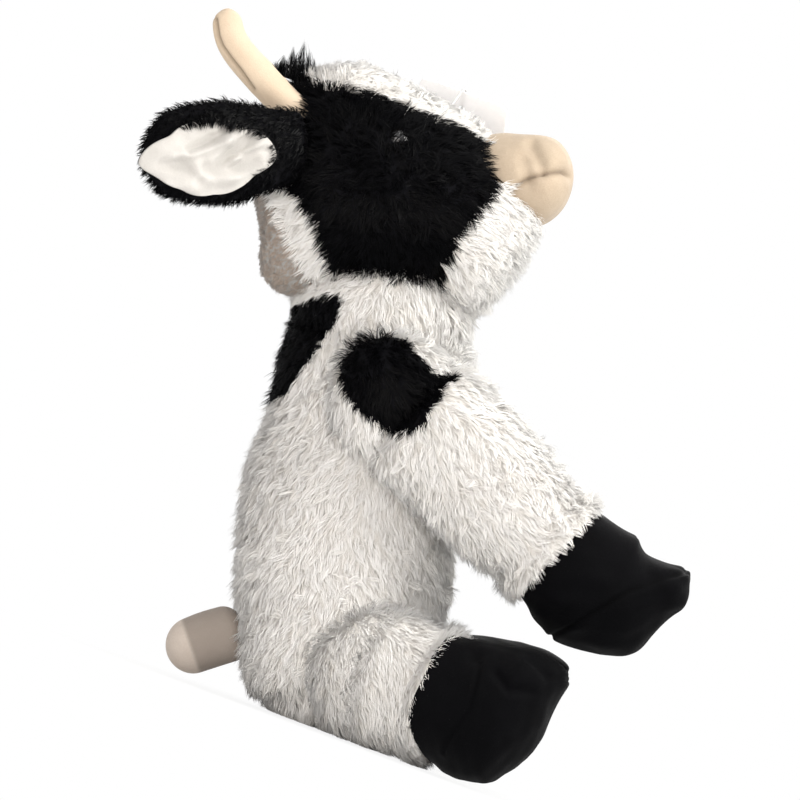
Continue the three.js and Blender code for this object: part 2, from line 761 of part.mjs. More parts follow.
function makeTag() {
  const { outward, upwards, forwards, hole } = tagFrame();
  const halfWidth = tag.width / 2;
  const top = tag.holeInset;
  const foot = top - tag.length;
  const outline = new THREE.Shape();
  outline.absarc(halfWidth - tag.corner, top - tag.corner, tag.corner, 0, Math.PI / 2);
  outline.absarc(tag.corner - halfWidth, top - tag.corner, tag.corner, Math.PI / 2, Math.PI);
  outline.absarc(tag.corner - halfWidth, foot + tag.corner, tag.corner, Math.PI, (3 * Math.PI) / 2);
  outline.absarc(halfWidth - tag.corner, foot + tag.corner, tag.corner, (3 * Math.PI) / 2, 2 * Math.PI);
  outline.holes.push(new THREE.Path().absarc(0, 0, tag.holeRadius, 0, 2 * Math.PI, true));
  const geometry = new THREE.ExtrudeGeometry(outline, {
    depth: tag.thick,
    bevelEnabled: false,
    curveSegments: cornerSteps,
  });
  geometry.translate(0, 0, -tag.thick / 2);
  geometry.applyMatrix4(new THREE.Matrix4().makeBasis(forwards, upwards, outward));
  geometry.translate(hole.x, hole.y, hole.z);
  return solidOf(geometry);
}

// The loop runs out of the head, through the tag's hole, over its top edge and back into the head
function makeTagLoop() {
  const { outward, upwards, hole } = tagFrame();
  const edge = tag.holeInset + tagLoop.overEdge;
  const route = [
    [0, -overrun],
    [0, -overrun / 2],
    [0, 0],
    [tagLoop.offFace, tagLoop.offFace],
    [edge - tagLoop.offFace, tagLoop.offFace],
    [edge, 0],
    [edge, -overrun / 2],
    [edge, -overrun],
  ];
  const points = route.map(([up, out]) =>
    hole.clone().addScaledVector(upwards, up).addScaledVector(outward, out)
  );
  const section = new THREE.Shape();
  section.absarc(0, 0, tagLoop.wire, 0, 2 * Math.PI);
  const geometry = new THREE.ExtrudeGeometry(section, {
    steps: wireSteps,
    curveSegments: wireSides,
    extrudePath: new THREE.CatmullRomCurve3(points, false, 'centripetal'),
  });
  return cut(solidOf(geometry), softForm(headForm, seamGap));
}

// The label is sewn on at its top edge, low on the belly, and stands off it below
function makeLabel() {
  const point = frontAtHeight(torsoForm, label.topHeight);
  const geometry = new THREE.BoxGeometry(label.width, label.thick, label.length);
  geometry.translate(0, -label.thick / 2, label.sewnIn - label.length / 2);
  geometry.rotateX(-radians(label.lean));
  geometry.translate(point.x, point.y, point.z);
  return cut(solidOf(geometry), softForm(torsoForm, seamGap));
}

// Groups at the joints' centres, each holding the pieces that move with it
const toy = new THREE.Group();
const neckGroup = new THREE.Group();
const headGroup = new THREE.Group();
neckGroup.position.copy(neckCentre);
toy.add(neckGroup);
neckGroup.add(headGroup);

function pivot(parent, centre) {
  const group = new THREE.Group();
  parent.updateWorldMatrix(true, false);
  group.position.copy(parent.worldToLocal(centre.clone()));
  parent.add(group);
  return group;
}

function addPiece(group, name, solid, colour, roughness) {
  const geometry = geometryOf(largest(solid));
  group.updateWorldMatrix(true, false);
  geometry.applyMatrix4(group.matrixWorld.clone().invert());
  const material = new THREE.MeshStandardMaterial({ color: colours[colour], roughness, metalness: 0 });
  const mesh = new THREE.Mesh(geometry, material);
  mesh.name = name;
  group.add(mesh);
}

const clothRoughness = 0.95;
const plasticRoughness = 0.25;

const torsoPieces = makeTorso();
addPiece(toy, 'torso_cover', torsoPieces.cover, 'whitePile', clothRoughness);
addPiece(toy, 'torso_stuffing', torsoPieces.stuffing, 'stuffing', clothRoughness);
addPiece(toy, 'seat_pellet_bag', torsoPieces.pellets, 'pelletCloth', clothRoughness);
addPiece(toy, 'care_label', makeLabel(), 'labelCloth', clothRoughness);
addPiece(neckGroup, 'neck_stuffing', torsoPieces.wad, 'stuffing', clothRoughness);

const eyes = { left: makeEye(sides.left), right: makeEye(sides.right) };
const headPieces = makeHead(Object.values(eyes));
const headTool = softForm(headForm, seamGap);
const muzzlePieces = makeSewnOn(muzzleForm, headTool);
addPiece(headGroup, 'head_cover', headPieces.cover, 'blackPile', clothRoughness);
addPiece(headGroup, 'head_stuffing', headPieces.stuffing, 'stuffing', clothRoughness);
addPiece(headGroup, 'muzzle_cover', muzzlePieces.cover, 'creamPlush', clothRoughness);
addPiece(headGroup, 'muzzle_stuffing', muzzlePieces.stuffing, 'stuffing', clothRoughness);
addPiece(headGroup, 'tag_loop', makeTagLoop(), 'clearPlastic', plasticRoughness);
addPiece(pivot(headGroup, tagFrame().hole), 'hang_tag', makeTag(), 'card', clothRoughness);

Object.entries(sides).forEach(([sideName, way]) => {
  const hornPieces = makeSewnOn(hornForm(way), headTool);
  addPiece(headGroup, `horn_cover_${sideName}`, hornPieces.cover, 'creamPlush', clothRoughness);
  addPiece(headGroup, `horn_stuffing_${sideName}`, hornPieces.stuffing, 'stuffing', clothRoughness);
  addPiece(headGroup, `eye_${sideName}`, eyes[sideName].eye, 'eyePlastic', plasticRoughness);
  addPiece(headGroup, `eye_washer_${sideName}`, eyes[sideName].washer, 'clearPlastic', plasticRoughness);

  const earPieces = makeEar(way);
  const earGroup = pivot(headGroup, earRootOf(way));
  addPiece(earGroup, `ear_back_${sideName}`, earPieces.back, 'blackPile', clothRoughness);
  addPiece(earGroup, `ear_lining_${sideName}`, earPieces.lining, 'whitePlush', clothRoughness);

  const armPieces = makeArm(way);
  const armGroup = pivot(toy, shoulderOf(way));
  addPiece(armGroup, `arm_cover_${sideName}`, armPieces.cover, 'whitePile', clothRoughness);
  addPiece(armGroup, `front_hoof_${sideName}`, armPieces.hoof, 'hoofPlush', clothRoughness);
  addPiece(armGroup, `arm_stuffing_${sideName}`, armPieces.stuffing, 'stuffing', clothRoughness);

  const legPieces = makeLeg(way);
  const legGroup = pivot(toy, hipOf(way));
  addPiece(legGroup, `leg_cover_${sideName}`, legPieces.cover, 'whitePile', clothRoughness);
  addPiece(legGroup, `hind_hoof_${sideName}`, legPieces.hoof, 'hoofPlush', clothRoughness);
  addPiece(legGroup, `leg_stuffing_${sideName}`, legPieces.stuffing, 'stuffing', clothRoughness);
});

const tailPieces = makeTail();
const tailGroup = pivot(toy, tailRoot);
addPiece(tailGroup, 'tail_cover', tailPieces.cover, 'creamPlush', clothRoughness);
addPiece(tailGroup, 'tail_stuffing', tailPieces.stuffing, 'stuffing', clothRoughness);

export default toy;
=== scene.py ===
from math import ceil, cos, pi, radians, sin, sqrt

import bpy
import numpy as np
from mathutils import Matrix, Vector
from mathutils.kdtree import KDTree


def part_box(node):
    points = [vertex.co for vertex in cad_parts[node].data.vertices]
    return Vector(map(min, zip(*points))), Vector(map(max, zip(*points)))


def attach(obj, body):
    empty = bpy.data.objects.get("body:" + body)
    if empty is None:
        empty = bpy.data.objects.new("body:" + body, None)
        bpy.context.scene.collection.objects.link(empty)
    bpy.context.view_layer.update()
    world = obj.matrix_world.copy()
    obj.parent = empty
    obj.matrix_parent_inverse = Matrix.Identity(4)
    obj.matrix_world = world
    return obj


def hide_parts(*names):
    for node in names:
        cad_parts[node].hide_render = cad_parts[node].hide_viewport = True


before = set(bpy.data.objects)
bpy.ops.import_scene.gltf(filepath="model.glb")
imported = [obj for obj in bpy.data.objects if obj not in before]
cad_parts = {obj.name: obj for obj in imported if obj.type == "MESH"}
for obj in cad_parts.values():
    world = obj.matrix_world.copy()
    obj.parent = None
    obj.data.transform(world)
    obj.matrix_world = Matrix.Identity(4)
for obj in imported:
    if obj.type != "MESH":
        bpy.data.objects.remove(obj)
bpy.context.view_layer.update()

MM = 0.001
SIDES = {"left": 1, "right": -1}
FEWER = 1.0

# ---- camera
PHOTO_WIDTH = 0.440          # metres across the picture at the cow
PHOTO_ROLL = radians(20)
PHOTO_RISE = radians(0.5)
PHOTO_AIM = Vector((0, 0.0172, 0.1854))
LENS, SENSOR = 1200, 36


def make_camera():
    data = bpy.data.cameras.new("photo_camera")
    data.lens, data.sensor_width = LENS, SENSOR
    camera = bpy.data.objects.new("photo_camera", data)
    bpy.context.scene.collection.objects.link(camera)
    back = Vector((-cos(PHOTO_RISE), 0, sin(PHOTO_RISE)))
    level_right = Vector((0, -1, 0))
    level_up = back.cross(level_right)
    right = level_right * cos(PHOTO_ROLL) + level_up * sin(PHOTO_ROLL)
    up = level_up * cos(PHOTO_ROLL) - level_right * sin(PHOTO_ROLL)
    distance = PHOTO_WIDTH * LENS / SENSOR
    turn = Matrix((right, up, back)).transposed().to_4x4()
    camera.matrix_world = Matrix.Translation(PHOTO_AIM + back * distance) @ turn
    bpy.context.scene.camera = camera


# ---- small sums
def unit(rows):
    return rows / np.maximum(np.linalg.norm(rows, axis=-1, keepdims=True), 1e-12)


def at(sideways, forward, up):
    """A place or direction: sideways to the cow's left, forward to its nose, and up."""
    return np.array([sideways, -forward, up], float)


def ramp(values, low, high):
    """0 at low, 1 at high, smooth between."""
    share = np.clip((values - low) / (high - low), 0, 1)
    return share * share * (3 - 2 * share)


def ripples(points, size, seed):
    """Soft seeded lumps between about -1 and 1 over places in mm, with waves about `size` long."""
    rng = np.random.default_rng(seed)
    total = np.zeros(len(points))
    for _ in range(9):
        line = unit(rng.normal(size=3)) * (2 * pi / (size * rng.uniform(0.6, 1.6)))
        total += np.sin(points @ line + rng.uniform(0, 6.28))
    return total / 3


def smooth_line(points, steps=24):
    """A smooth line through points: a centripetal Catmull-Rom curve."""
    p = np.asarray(points, float)
    p = np.vstack([2 * p[0] - p[1], p, 2 * p[-1] - p[-2]])
    t = np.linspace(0, 1, steps, endpoint=False)[:, None]
    out = []
    for i in range(1, len(p) - 2):
        a, b, c, d = p[i - 1:i + 3]
        ta, tb, tc = (max(np.linalg.norm(q), 1e-9) ** 0.5 for q in (b - a, c - b, d - c))
        m1 = ((b - a) / ta - (c - a) / (ta + tb) + (c - b) / tb) * tb
        m2 = ((c - b) / tb - (d - b) / (tb + tc) + (d - c) / tc) * tb
        out.append((2 * t**3 - 3 * t**2 + 1) * b + (t**3 - 2 * t**2 + t) * m1
                   + (3 * t**2 - 2 * t**3) * c + (t**3 - t**2) * m2)
    out.append(p[-2:-1])
    return np.vstack(out)


def inside_outline(outline, across, up):
    """Which places lie inside a closed outline."""
    inside = np.zeros(len(across), bool)
    for (x0, y0), (x1, y1) in zip(outline, outline[1:] + outline[:1]):
        if y0 == y1:
            continue
        crosses = (y0 > up) != (y1 > up)
        inside ^= crosses & (across < (x1 - x0) * (up - y0) / (y1 - y0) + x0)
    return inside


def off_line(points, line):
    """Distance of each place from a broken line, in the line's own two or three numbers."""
    best = np.full(len(points), 1e9)
    for a, b in zip(line[:-1], line[1:]):
        a, b = np.asarray(a, float), np.asarray(b, float)
        share = np.clip((points - a) @ (b - a) / ((b - a) @ (b - a)), 0, 1)
        best = np.minimum(best, np.linalg.norm(points - a - share[:, None] * (b - a), axis=1))
    return best


def even_turn(count):
    """Even angles once round."""
    return np.linspace(0, 2 * pi, count, endpoint=False)


def loft_faces(rows, sides):
    """Quads between rings of points, and triangles to the two end points that follow them."""
    ring = np.arange(sides)
    following = (ring + 1) % sides
    quads = np.concatenate([
        np.column_stack([r * sides + ring, r * sides + following,
                         (r + 1) * sides + following, (r + 1) * sides + ring])
        for r in range(rows - 1)])
    low, last = rows * sides, (rows - 1) * sides
    tris = np.vstack([np.column_stack([np.full(sides, low), following, ring]),
                      np.column_stack([np.full(sides, low + 1), last + ring, last + following])])
    return quads, tris


# ---- stuffed forms, in mm
FORWARD, UP, ACROSS = at(0, 1, 0), at(0, 0, 1), np.array([1.0, 0, 0])
RING_GAP, FINE_RING_GAP = 2.2, 0.9
FINE_SIDES = 80              # from this many sides on, the rings lie close too
SEAM_INSET = 1.2             # of the skin, where it rises to meet a hoof
SEAM_DROP = 3                # of the skin, where it runs under the hoof


class Form:
    """A stuffed form that swells and tapers along a spine."""

    def __init__(self, spine, deep, wide, start_round, end_round, across=(1, 0, 0), start_flat=0.0):
        self.start_round, self.end_round, self.start_flat = start_round, end_round, start_flat
        self.line = smooth_line(spine)
        halves = smooth_line(np.column_stack([wide, deep, np.zeros(len(wide))]))
        self.wide, self.deep = halves[:, 0], halves[:, 1]
        steps = np.linalg.norm(np.diff(self.line, axis=0), axis=1)
        self.along = np.concatenate([[0], np.cumsum(steps)])
        self.length = self.along[-1]
        tangent = unit(np.gradient(self.line, self.along, axis=0))
        across = np.asarray(across, float)
        self.across = unit(across - (tangent @ across)[:, None] * tangent)
        self.square = np.cross(tangent, self.across)
        self.tangent = tangent

    def at(self, distance):
        def mix(rows):
            return np.column_stack([np.interp(distance, self.along, rows[:, k]) for k in range(3)])
        return (mix(self.line), unit(mix(self.across)), unit(mix(self.square)),
                np.interp(distance, self.along, self.wide), np.interp(distance, self.along, self.deep))

    def rings(self, inset, start, gap):
        """Distances along the spine and the share of full size there, set in all round."""
        length = self.length - start - inset
        round_in = max(self.start_round - inset, self.start_round * 0.4)
        round_out = max(self.end_round - inset, self.end_round * 0.4)
        caps_in, caps_out = (max(5, int(size * 1.5 / gap)) for size in (round_in, round_out))
        middle = max(3, int((length - round_in - round_out) / gap))
        angle_in = np.linspace(0, pi / 2, caps_in + 1)
        angle_out = np.linspace(0, pi / 2, caps_out + 1)[:0:-1]
        if self.start_flat == 0:
            angle_in = angle_in[1:]
        distance = np.concatenate([
            start + round_in * (1 - np.cos(angle_in)),
            start + np.linspace(round_in, length - round_out, middle + 1)[1:-1],
            start + length - round_out * (1 - np.cos(angle_out))])
        share_in = self.start_flat + (1 - self.start_flat) * np.sin(angle_in)
        return distance, np.concatenate([share_in, np.ones(middle - 1), np.sin(angle_out)])

    def shell(self, inset=0.0, start_inset=None, sides=64, seam=None):
        """Points and faces of the form's surface, set in by `inset`, or hardly at all at a seam."""
        start = inset if start_inset is None else start_inset
        distance, share = self.rings(inset, start, RING_GAP if sides < FINE_SIDES else FINE_RING_GAP)
        place, across, square, wide, deep = self.at(distance)
        depth = np.full(len(distance), float(inset))
        if seam is not None:
            rise = np.minimum(ramp(distance, seam - 16, seam - 4), 1 - ramp(distance, seam - 2, seam + 0.5))
            depth = inset + (SEAM_INSET - inset) * rise + SEAM_DROP * ramp(distance, seam - 1, seam + 2)
        w, d = (np.maximum(half - depth, half * 0.3) * share for half in (wide, deep))
        angle = even_turn(sides)
        points = (place[:, None] + across[:, None] * (w[:, None] * np.cos(angle))[..., None]
                  + square[:, None] * (d[:, None] * np.sin(angle))[..., None]).reshape(-1, 3)
        ends = self.at(np.array([start, self.length - inset]))[0]
        if self.start_flat > 0:
            ends[0] = place[0]
        return np.vstack([points, ends]), *loft_faces(len(distance), sides)

    def holds(self, points, margin=0.0):
        """Which places lie inside the form, by at least `margin`."""
        inside = np.zeros(len(points), bool)
        step = max(1, len(self.line) // 40)
        line, across, square = self.line[::step], self.across[::step], self.square[::step]
        wide, deep, along = self.wide[::step], self.deep[::step], self.along[::step]
        tangent = self.tangent[::step]
        for k in range(0, len(points), 20000):
            part = points[k:k + 20000]
            nearest = np.argmin(((part[:, None] - line[None]) ** 2).sum(-1), axis=1)
            off = part - line[nearest]
            x = (off * across[nearest]).sum(1) / np.maximum(wide[nearest] - margin, 1)
            y = (off * square[nearest]).sum(1) / np.maximum(deep[nearest] - margin, 1)
            run = (off * tangent[nearest]).sum(1) + along[nearest]
            from_start = np.clip((run - margin) / self.start_round, 0, 1)
            from_end = np.clip((self.length - run - margin) / self.end_round, 0, 1)
            share = np.sqrt(1 - (1 - from_start) ** 2) * np.sqrt(1 - (1 - from_end) ** 2)
            share = np.maximum(share, self.start_flat * (from_start > 0))
            inside[k:k + 20000] = x * x + y * y < share * share
        return inside


class Ball:
    """A rounded joint end: a squashed ball."""

    def __init__(self, centre, half):
        self.centre, self.half = np.asarray(centre, float), np.asarray(half, float)

    def shell(self, inset=0.0, sides=56):
        tall, angle = np.linspace(0, pi, sides // 2 + 1)[1:-1], even_turn(sides)
        x, y = np.outer(np.sin(tall), np.cos(angle)), np.outer(np.sin(tall), np.sin(angle))
        z = np.repeat(-np.cos(tall)[:, None], sides, axis=1)
        points = np.vstack([np.stack([x, y, z], -1).reshape(-1, 3), [[0, 0, -1], [0, 0, 1]]])
        return points * (self.half - inset) + self.centre, *loft_faces(len(tall), sides)

    def holds(self, points, margin=0.0):
        return (((points - self.centre) / (self.half - margin)) ** 2).sum(1) < 1


def form_from(shares, origin, size, start_round, end_round, start_flat=0.0, end_row=None, forward=FORWARD,
              across=ACROSS):
    """A form from rows of [forward, up, half depth, half width] shares of a size in that order."""
    length, rise, depth, width = size
    shares = np.asarray(shares, float)
    spine = origin + shares[:, :1] * length * forward + shares[:, 1:2] * rise * UP
    deep, wide = shares[:, 2] * depth, shares[:, 3] * width
    if end_row is not None:
        spine = np.vstack([spine, spine[-1] + end_row])
        deep, wide = np.append(deep, deep[-1]), np.append(wide, wide[-1])
    return Form(spine, deep, wide, start_round, end_round, across, start_flat)


NECK = at(0, -43, 226)
TAIL_ROOT = at(0, -53, 40)
EAR_LENGTH, EAR_HEIGHT, EAR_THICK = 104, 60, 15
OUTWARD, DOWNWARD = radians(22), radians(24)         # how the ear leans
SPLAY = radians(22)          # of the legs
ARM_RAISE = radians(40)      # its upper limit
HOOF_LAP = 24                # how far a limb's form runs on inside its hoof


def slanted(level, degrees):
    """A level direction, turned up."""
    return level * cos(radians(degrees)) + UP * sin(radians(degrees))


TAIL_LINE = slanted(-FORWARD, -39)


def shoulder(way):
    return at(way * 55, -21, 187)


def hip(way):
    return at(way * 50, 12, 39.5)


TORSO = form_from(
    [[.03, 0, .32, .38], [.03, .1, .39, .43], [-.02, .17, .43, .465], [-.063, .24, .455, .485],
     [-.095, .319, .485, .5], [-.143, .442, .5, .49], [-.206, .575, .49, .465], [-.262, .748, .444, .43],
     [-.29, .885, .44, .405], [-.32, 1, .4, .37]],
    at(0, 0, -0.5), (126, 226, 126, 126), 20, 14, 0.6)
NECK_BALL = Ball(NECK, (52, 52, 52))
HEAD = form_from(
    [[-.585, .41, .28, .28], [-.48, .43, .39, .37], [-.333, .43, .48, .46], [-.105, .44, .43, .5],
     [.117, .42, .385, .465], [.25, .375, .335, .4], [.395, .32, .28, .34]],
    NECK, (162, 142, 142, 134), 24, 24)
MUZZLE = form_from(
    [[0, 0, .36, .4], [.35, .08, .48, .48], [.65, .15, .5, .5], [1, .2, .42, .44]],
    NECK + at(0, 16, 89), (60, 60, 52, 84), 8, 17)


def horn_form(way):
    return form_from([[0, 0, .5, .5], [-.37, .18, .5, .5], [-.71, .38, .47, .47], [-.86, .61, .4, .4]],
                     NECK + at(way * 29, -70, 82), (80, 80, 23, 23), 2, 10)


def ear_frame(way):
    """The ear's root, the line along it, its height line, and the way its lining faces."""
    root = NECK + at(way * 50.5, -73, 72)
    line = at(way * sin(OUTWARD), -cos(OUTWARD) * cos(DOWNWARD), -cos(OUTWARD) * sin(DOWNWARD))
    tall = at(0, -sin(DOWNWARD), cos(DOWNWARD))
    face = np.cross(line, tall) * way
    return root, line, tall, face


def ear_form(way):
    root, line, tall, _ = ear_frame(way)
    rows = np.array([[0, .34, .5], [.25, .42, .5], [.52, .5, .48], [.8, .45, .42], [1, .3, .34]])
    spine = root + line * (-7.5) + rows[:, :1] * EAR_LENGTH * line
    return Form(spine, rows[:, 2] * EAR_THICK, rows[:, 1] * EAR_HEIGHT, 8, 20, tall)


def arm_form(way):
    return form_from([[0, 0, .49, .46], [.3, -.125, .5, .5], [.65, -.29, .48, .5], [.95, -.425, .41, .47]],
                     shoulder(way), (120, 120, 82, 62), 22, 8, end_row=HOOF_LAP * slanted(FORWARD, -22))


def shoulder_ball(way):
    return Ball(shoulder(way), (26, 40, 40))


def front_hoof_form(way):
    return form_from([[-.03, .012, .436, .456], [0, 0, .44, .46], [.244, -.101, .5, .5], [.458, -.149, .486, .5],
                      [.66, -.085, .34, .43], [.85, .13, .17, .28]],
                     shoulder(way) + at(0, 114, -51), (84, 84, 72, 64), 3, 13)


def leg_lines(way):
    """The leg's direction, and the line across it."""
    return at(way * sin(SPLAY), cos(SPLAY), 0), at(cos(SPLAY), -way * sin(SPLAY), 0)


def leg_form(way):
    forward, across = leg_lines(way)
    return form_from([[0, 0, .48, .46], [.5, 0, .5, .5], [1, -.01, .46, .48]], hip(way), (54, 54, 80, 68), 20, 8,
                     end_row=HOOF_LAP * slanted(forward, 9), forward=forward, across=across)


def hip_ball(way):
    return Ball(hip(way), (32, 32, 40))


def hind_hoof_form(way):
    forward, across = leg_lines(way)
    return form_from([[-.03, -.003, .450, .464], [0, 0, .455, .47], [.2, .01, .49, .5], [.45, .035, .51, .5],
                      [.7, .03, .45, .45]],
                     hip(way) + forward * 54 - UP * 0.54, (84, 84, 80, 70), 3, 16,
                     forward=forward, across=across)


def tail_form():
    half = np.array([.5, .5, .46]) * 33
    return Form(np.array([TAIL_ROOT, TAIL_ROOT + TAIL_LINE * 24, TAIL_ROOT + TAIL_LINE * 48]), half, half, 12, 15)


# ---- meshes
def mesh_object(name, points, polygons, material, smooth=True):
    """An object from points in mm and a list of polygon arrays."""
    mesh = bpy.data.meshes.new(name)
    mesh.vertices.add(len(points))
    mesh.vertices.foreach_set("co", (np.asarray(points) * MM).astype(np.float32).ravel())
    loops = np.concatenate([part.ravel() for part in polygons]).astype(np.int32)
    counts = np.concatenate([np.full(len(part), part.shape[1]) for part in polygons]).astype(np.int32)
    starts = np.concatenate([[0], np.cumsum(counts)[:-1]]).astype(np.int32)
    mesh.loops.add(len(loops))
    mesh.loops.foreach_set("vertex_index", loops)
    mesh.polygons.add(len(counts))
    mesh.polygons.foreach_set("loop_start", starts)
    mesh.polygons.foreach_set("loop_total", counts)
    mesh.update(calc_edges=True)
    mesh.polygons.foreach_set("use_smooth", np.full(len(counts), smooth))
    mesh.materials.append(material)
    made = bpy.data.objects.new(name, mesh)
    bpy.context.scene.collection.objects.link(made)
    return made


def triangles_of(quads, tris):
    return np.vstack([quads[:, [0, 1, 2]], quads[:, [0, 2, 3]], tris])


def normals_of(points, triangles):
    a, b, c = (points[triangles[:, k]] for k in range(3))
    face = np.cross(b - a, c - a)
    out = np.zeros_like(points)
    for k in range(3):
        np.add.at(out, triangles[:, k], face)
    return unit(out)


def patched(made, values):
    """Writes a number on each place of an object, which its material reads."""
    made.data.attributes.new("patch", "FLOAT", "POINT").data.foreach_set("value", values.astype(np.float32))
    return made


class Skin:
    """One or more shells joined: the cloth that pile stands on."""

    def __init__(self, shells):
        base = np.cumsum([0] + [len(shell[0]) for shell in shells])
        self.points = np.vstack([shell[0] for shell in shells])
        self.quads, self.tris = (np.vstack([shell[k] + base[n] for n, shell in enumerate(shells)]) for k in (1, 2))
        self.triangles = triangles_of(self.quads, self.tris)
        self.normals = normals_of(self.points, self.triangles)
        if ((self.points - self.points.mean(0)) * self.normals).sum() < 0:
            self.quads, self.tris = self.quads[:, ::-1], self.tris[:, ::-1]
            self.triangles = triangles_of(self.quads, self.tris)
            self.normals = -self.normals

    def push(self, amount):
        """Move every point out along its normal."""
        self.points = self.points + self.normals * np.asarray(amount)[:, None]
        self.normals = normals_of(self.points, self.triangles)

    def scatter(self, per_mm2, seed):
        """Seeded places on the skin with their normals."""
        rng = np.random.default_rng(seed)
        a, b, c = (self.points[self.triangles[:, k]] for k in range(3))
        area = np.linalg.norm(np.cross(b - a, c - a), axis=1) / 2
        count = int(area.sum() * per_mm2)
        picked = np.searchsorted(np.cumsum(area), rng.uniform(0, area.sum(), count))
        corner = self.triangles[np.minimum(picked, len(area) - 1)]
        u, v = rng.uniform(size=(2, count, 1))
        flip = (u + v) > 1
        u, v = np.where(flip, 1 - u, u), np.where(flip, 1 - v, v)
        mix = [1 - u - v, u, v]
        place = sum(self.points[corner[:, k]] * mix[k] for k in range(3))
        return place, unit(sum(self.normals[corner[:, k]] * mix[k] for k in range(3)))

    def piece(self, name, material, patch):
        return patched(mesh_object(name, self.points, [self.quads, self.tris], material), patch)


# ---- pile
SHADES = 16                  # shade cells of the pile, side by side in the UV map
CELL_WIDE, CELL_TALL = 4 / 1024, 16 / 1024
MOST_STRANDS = 21000         # strands in one piece
ROOT_DEPTH = 0.6             # how far a strand's root sits below the skin


def grow(place, normal, comb, length, width, lift, clump, density, seed, droop=0.12, gather=None):
    """Tapered strands of pile, combed and clumped: their corners, shade cells and where each one shows."""
    rng = np.random.default_rng(seed)
    count = len(place)
    spacing, pull, stray = clump
    centres = max(1, int(count / density / spacing**2))
    tree = KDTree(centres)
    for k in range(centres):
        tree.insert(place[k], k)
    tree.balance()
    nearest = np.fromiter((tree.find(spot)[1] for spot in place), int, count)
    comb = comb + rng.normal(size=(centres, 3))[nearest] * stray
    comb = comb - (comb * normal).sum(1, keepdims=True) * normal
    lift = np.broadcast_to(lift, count)[:, None] * rng.uniform(0.75, 1.25, (count, 1))
    start = unit(normal * lift + comb * (1 - lift * 0.6) + rng.normal(size=(count, 3)) * 0.14)
    long = (np.broadcast_to(length, count) * rng.uniform(0.72, 1.12, count))[:, None]
    middle = place + start * long * 0.5
    bend = unit(start * 0.75 + comb * 0.45 + rng.normal(size=(count, 3)) * 0.12 - UP * droop)
    tip = middle + bend * long * 0.5
    strength = (pull * rng.uniform(0.5, 1.2, centres))[nearest][:, None].clip(0, 0.93)
    middle = middle + (middle[nearest] - middle) * strength * 0.35
    tip = tip + (tip[nearest] - tip) * strength
    if gather is not None:
        tip = tip + (gather - tip) * rng.uniform(0.75, 0.97, (count, 1))
        middle = middle + (gather - middle) * 0.12
    thick = (np.broadcast_to(width, count) * rng.uniform(0.8, 1.2, count))[:, None]
    side = unit(np.cross(normal + rng.normal(size=(count, 3)) * 0.22, tip - place))
    other = np.cross(unit(tip - place), side)
    corners = np.empty((count, 7, 3))
    for k in range(3):
        angle = pi / 6 + 2 * pi * k / 3
        ring = side * cos(angle) + other * sin(angle)
        corners[:, k] = place - normal * ROOT_DEPTH + ring * thick * 0.5
        corners[:, 3 + k] = middle + ring * thick * 0.42
    corners[:, 6] = tip
    corners[:, :, 2] = np.maximum(corners[:, :, 2], 0.3 + 0.5 * rng.uniform(size=(count, 1)))
    shade = 0.2 + rng.uniform(0, 0.55, centres)[nearest] + rng.uniform(0, 0.24, count)
    cell = np.clip((shade * SHADES).astype(int), 0, SHADES - 1)
    return corners, cell, unit(other * 0.4 + normal * 0.85), place * 0.45 + tip * 0.55


STRAND_QUADS = np.array([[0, 1, 4, 3], [1, 2, 5, 4], [2, 0, 3, 5]])
STRAND_TRIS = np.array([[3, 4, 6], [4, 5, 6], [5, 3, 6]])
STRAND_U = np.array([0, 1, 1, 0, 1, 2, 2, 1, 2, 3, 3, 2]) / 3, np.array([0, 1, 0.5, 1, 2, 1.5, 2, 3, 2.5]) / 3
STRAND_V = np.tile([0, 0, 0.5, 0.5], 3), np.tile([0.5, 0.5, 1.0], 3)


def strand_pieces(name, body, material, corners, cell, facing):
    """Mesh pieces of strands that ride a body, with their shade in the UV map and normals that face out."""
    count = len(corners)
    if count == 0:
        return
    parts = max(1, ceil(count / MOST_STRANDS))
    order = np.argsort(corners[:, 0, 1] * 0.3 + corners[:, 0, 2], kind="stable")
    for part, chosen in enumerate(np.array_split(order, parts)):
        number = len(chosen)
        base = (np.arange(number) * 7)[:, None, None]
        made = mesh_object(f"{name}_{part + 1}" if parts > 1 else name, corners[chosen].reshape(-1, 3),
                           [(base + STRAND_QUADS).reshape(-1, 4), (base + STRAND_TRIS).reshape(-1, 3)], material)
        left = ((cell[chosen] + 0.15) * CELL_WIDE)[:, None]
        u = np.concatenate([(left + share * CELL_WIDE * 0.7).ravel() for share in STRAND_U])
        v = np.concatenate([np.tile(share, number) for share in STRAND_V])
        layer = made.data.uv_layers.new(name="OFBake")
        layer.data.foreach_set("uv", np.column_stack([u, (v * 0.9 + 0.05) * CELL_TALL]).astype(np.float32).ravel())
        made.data.normals_split_custom_set_from_vertices(np.repeat(facing[chosen], 7, axis=0))
        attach(made, body)


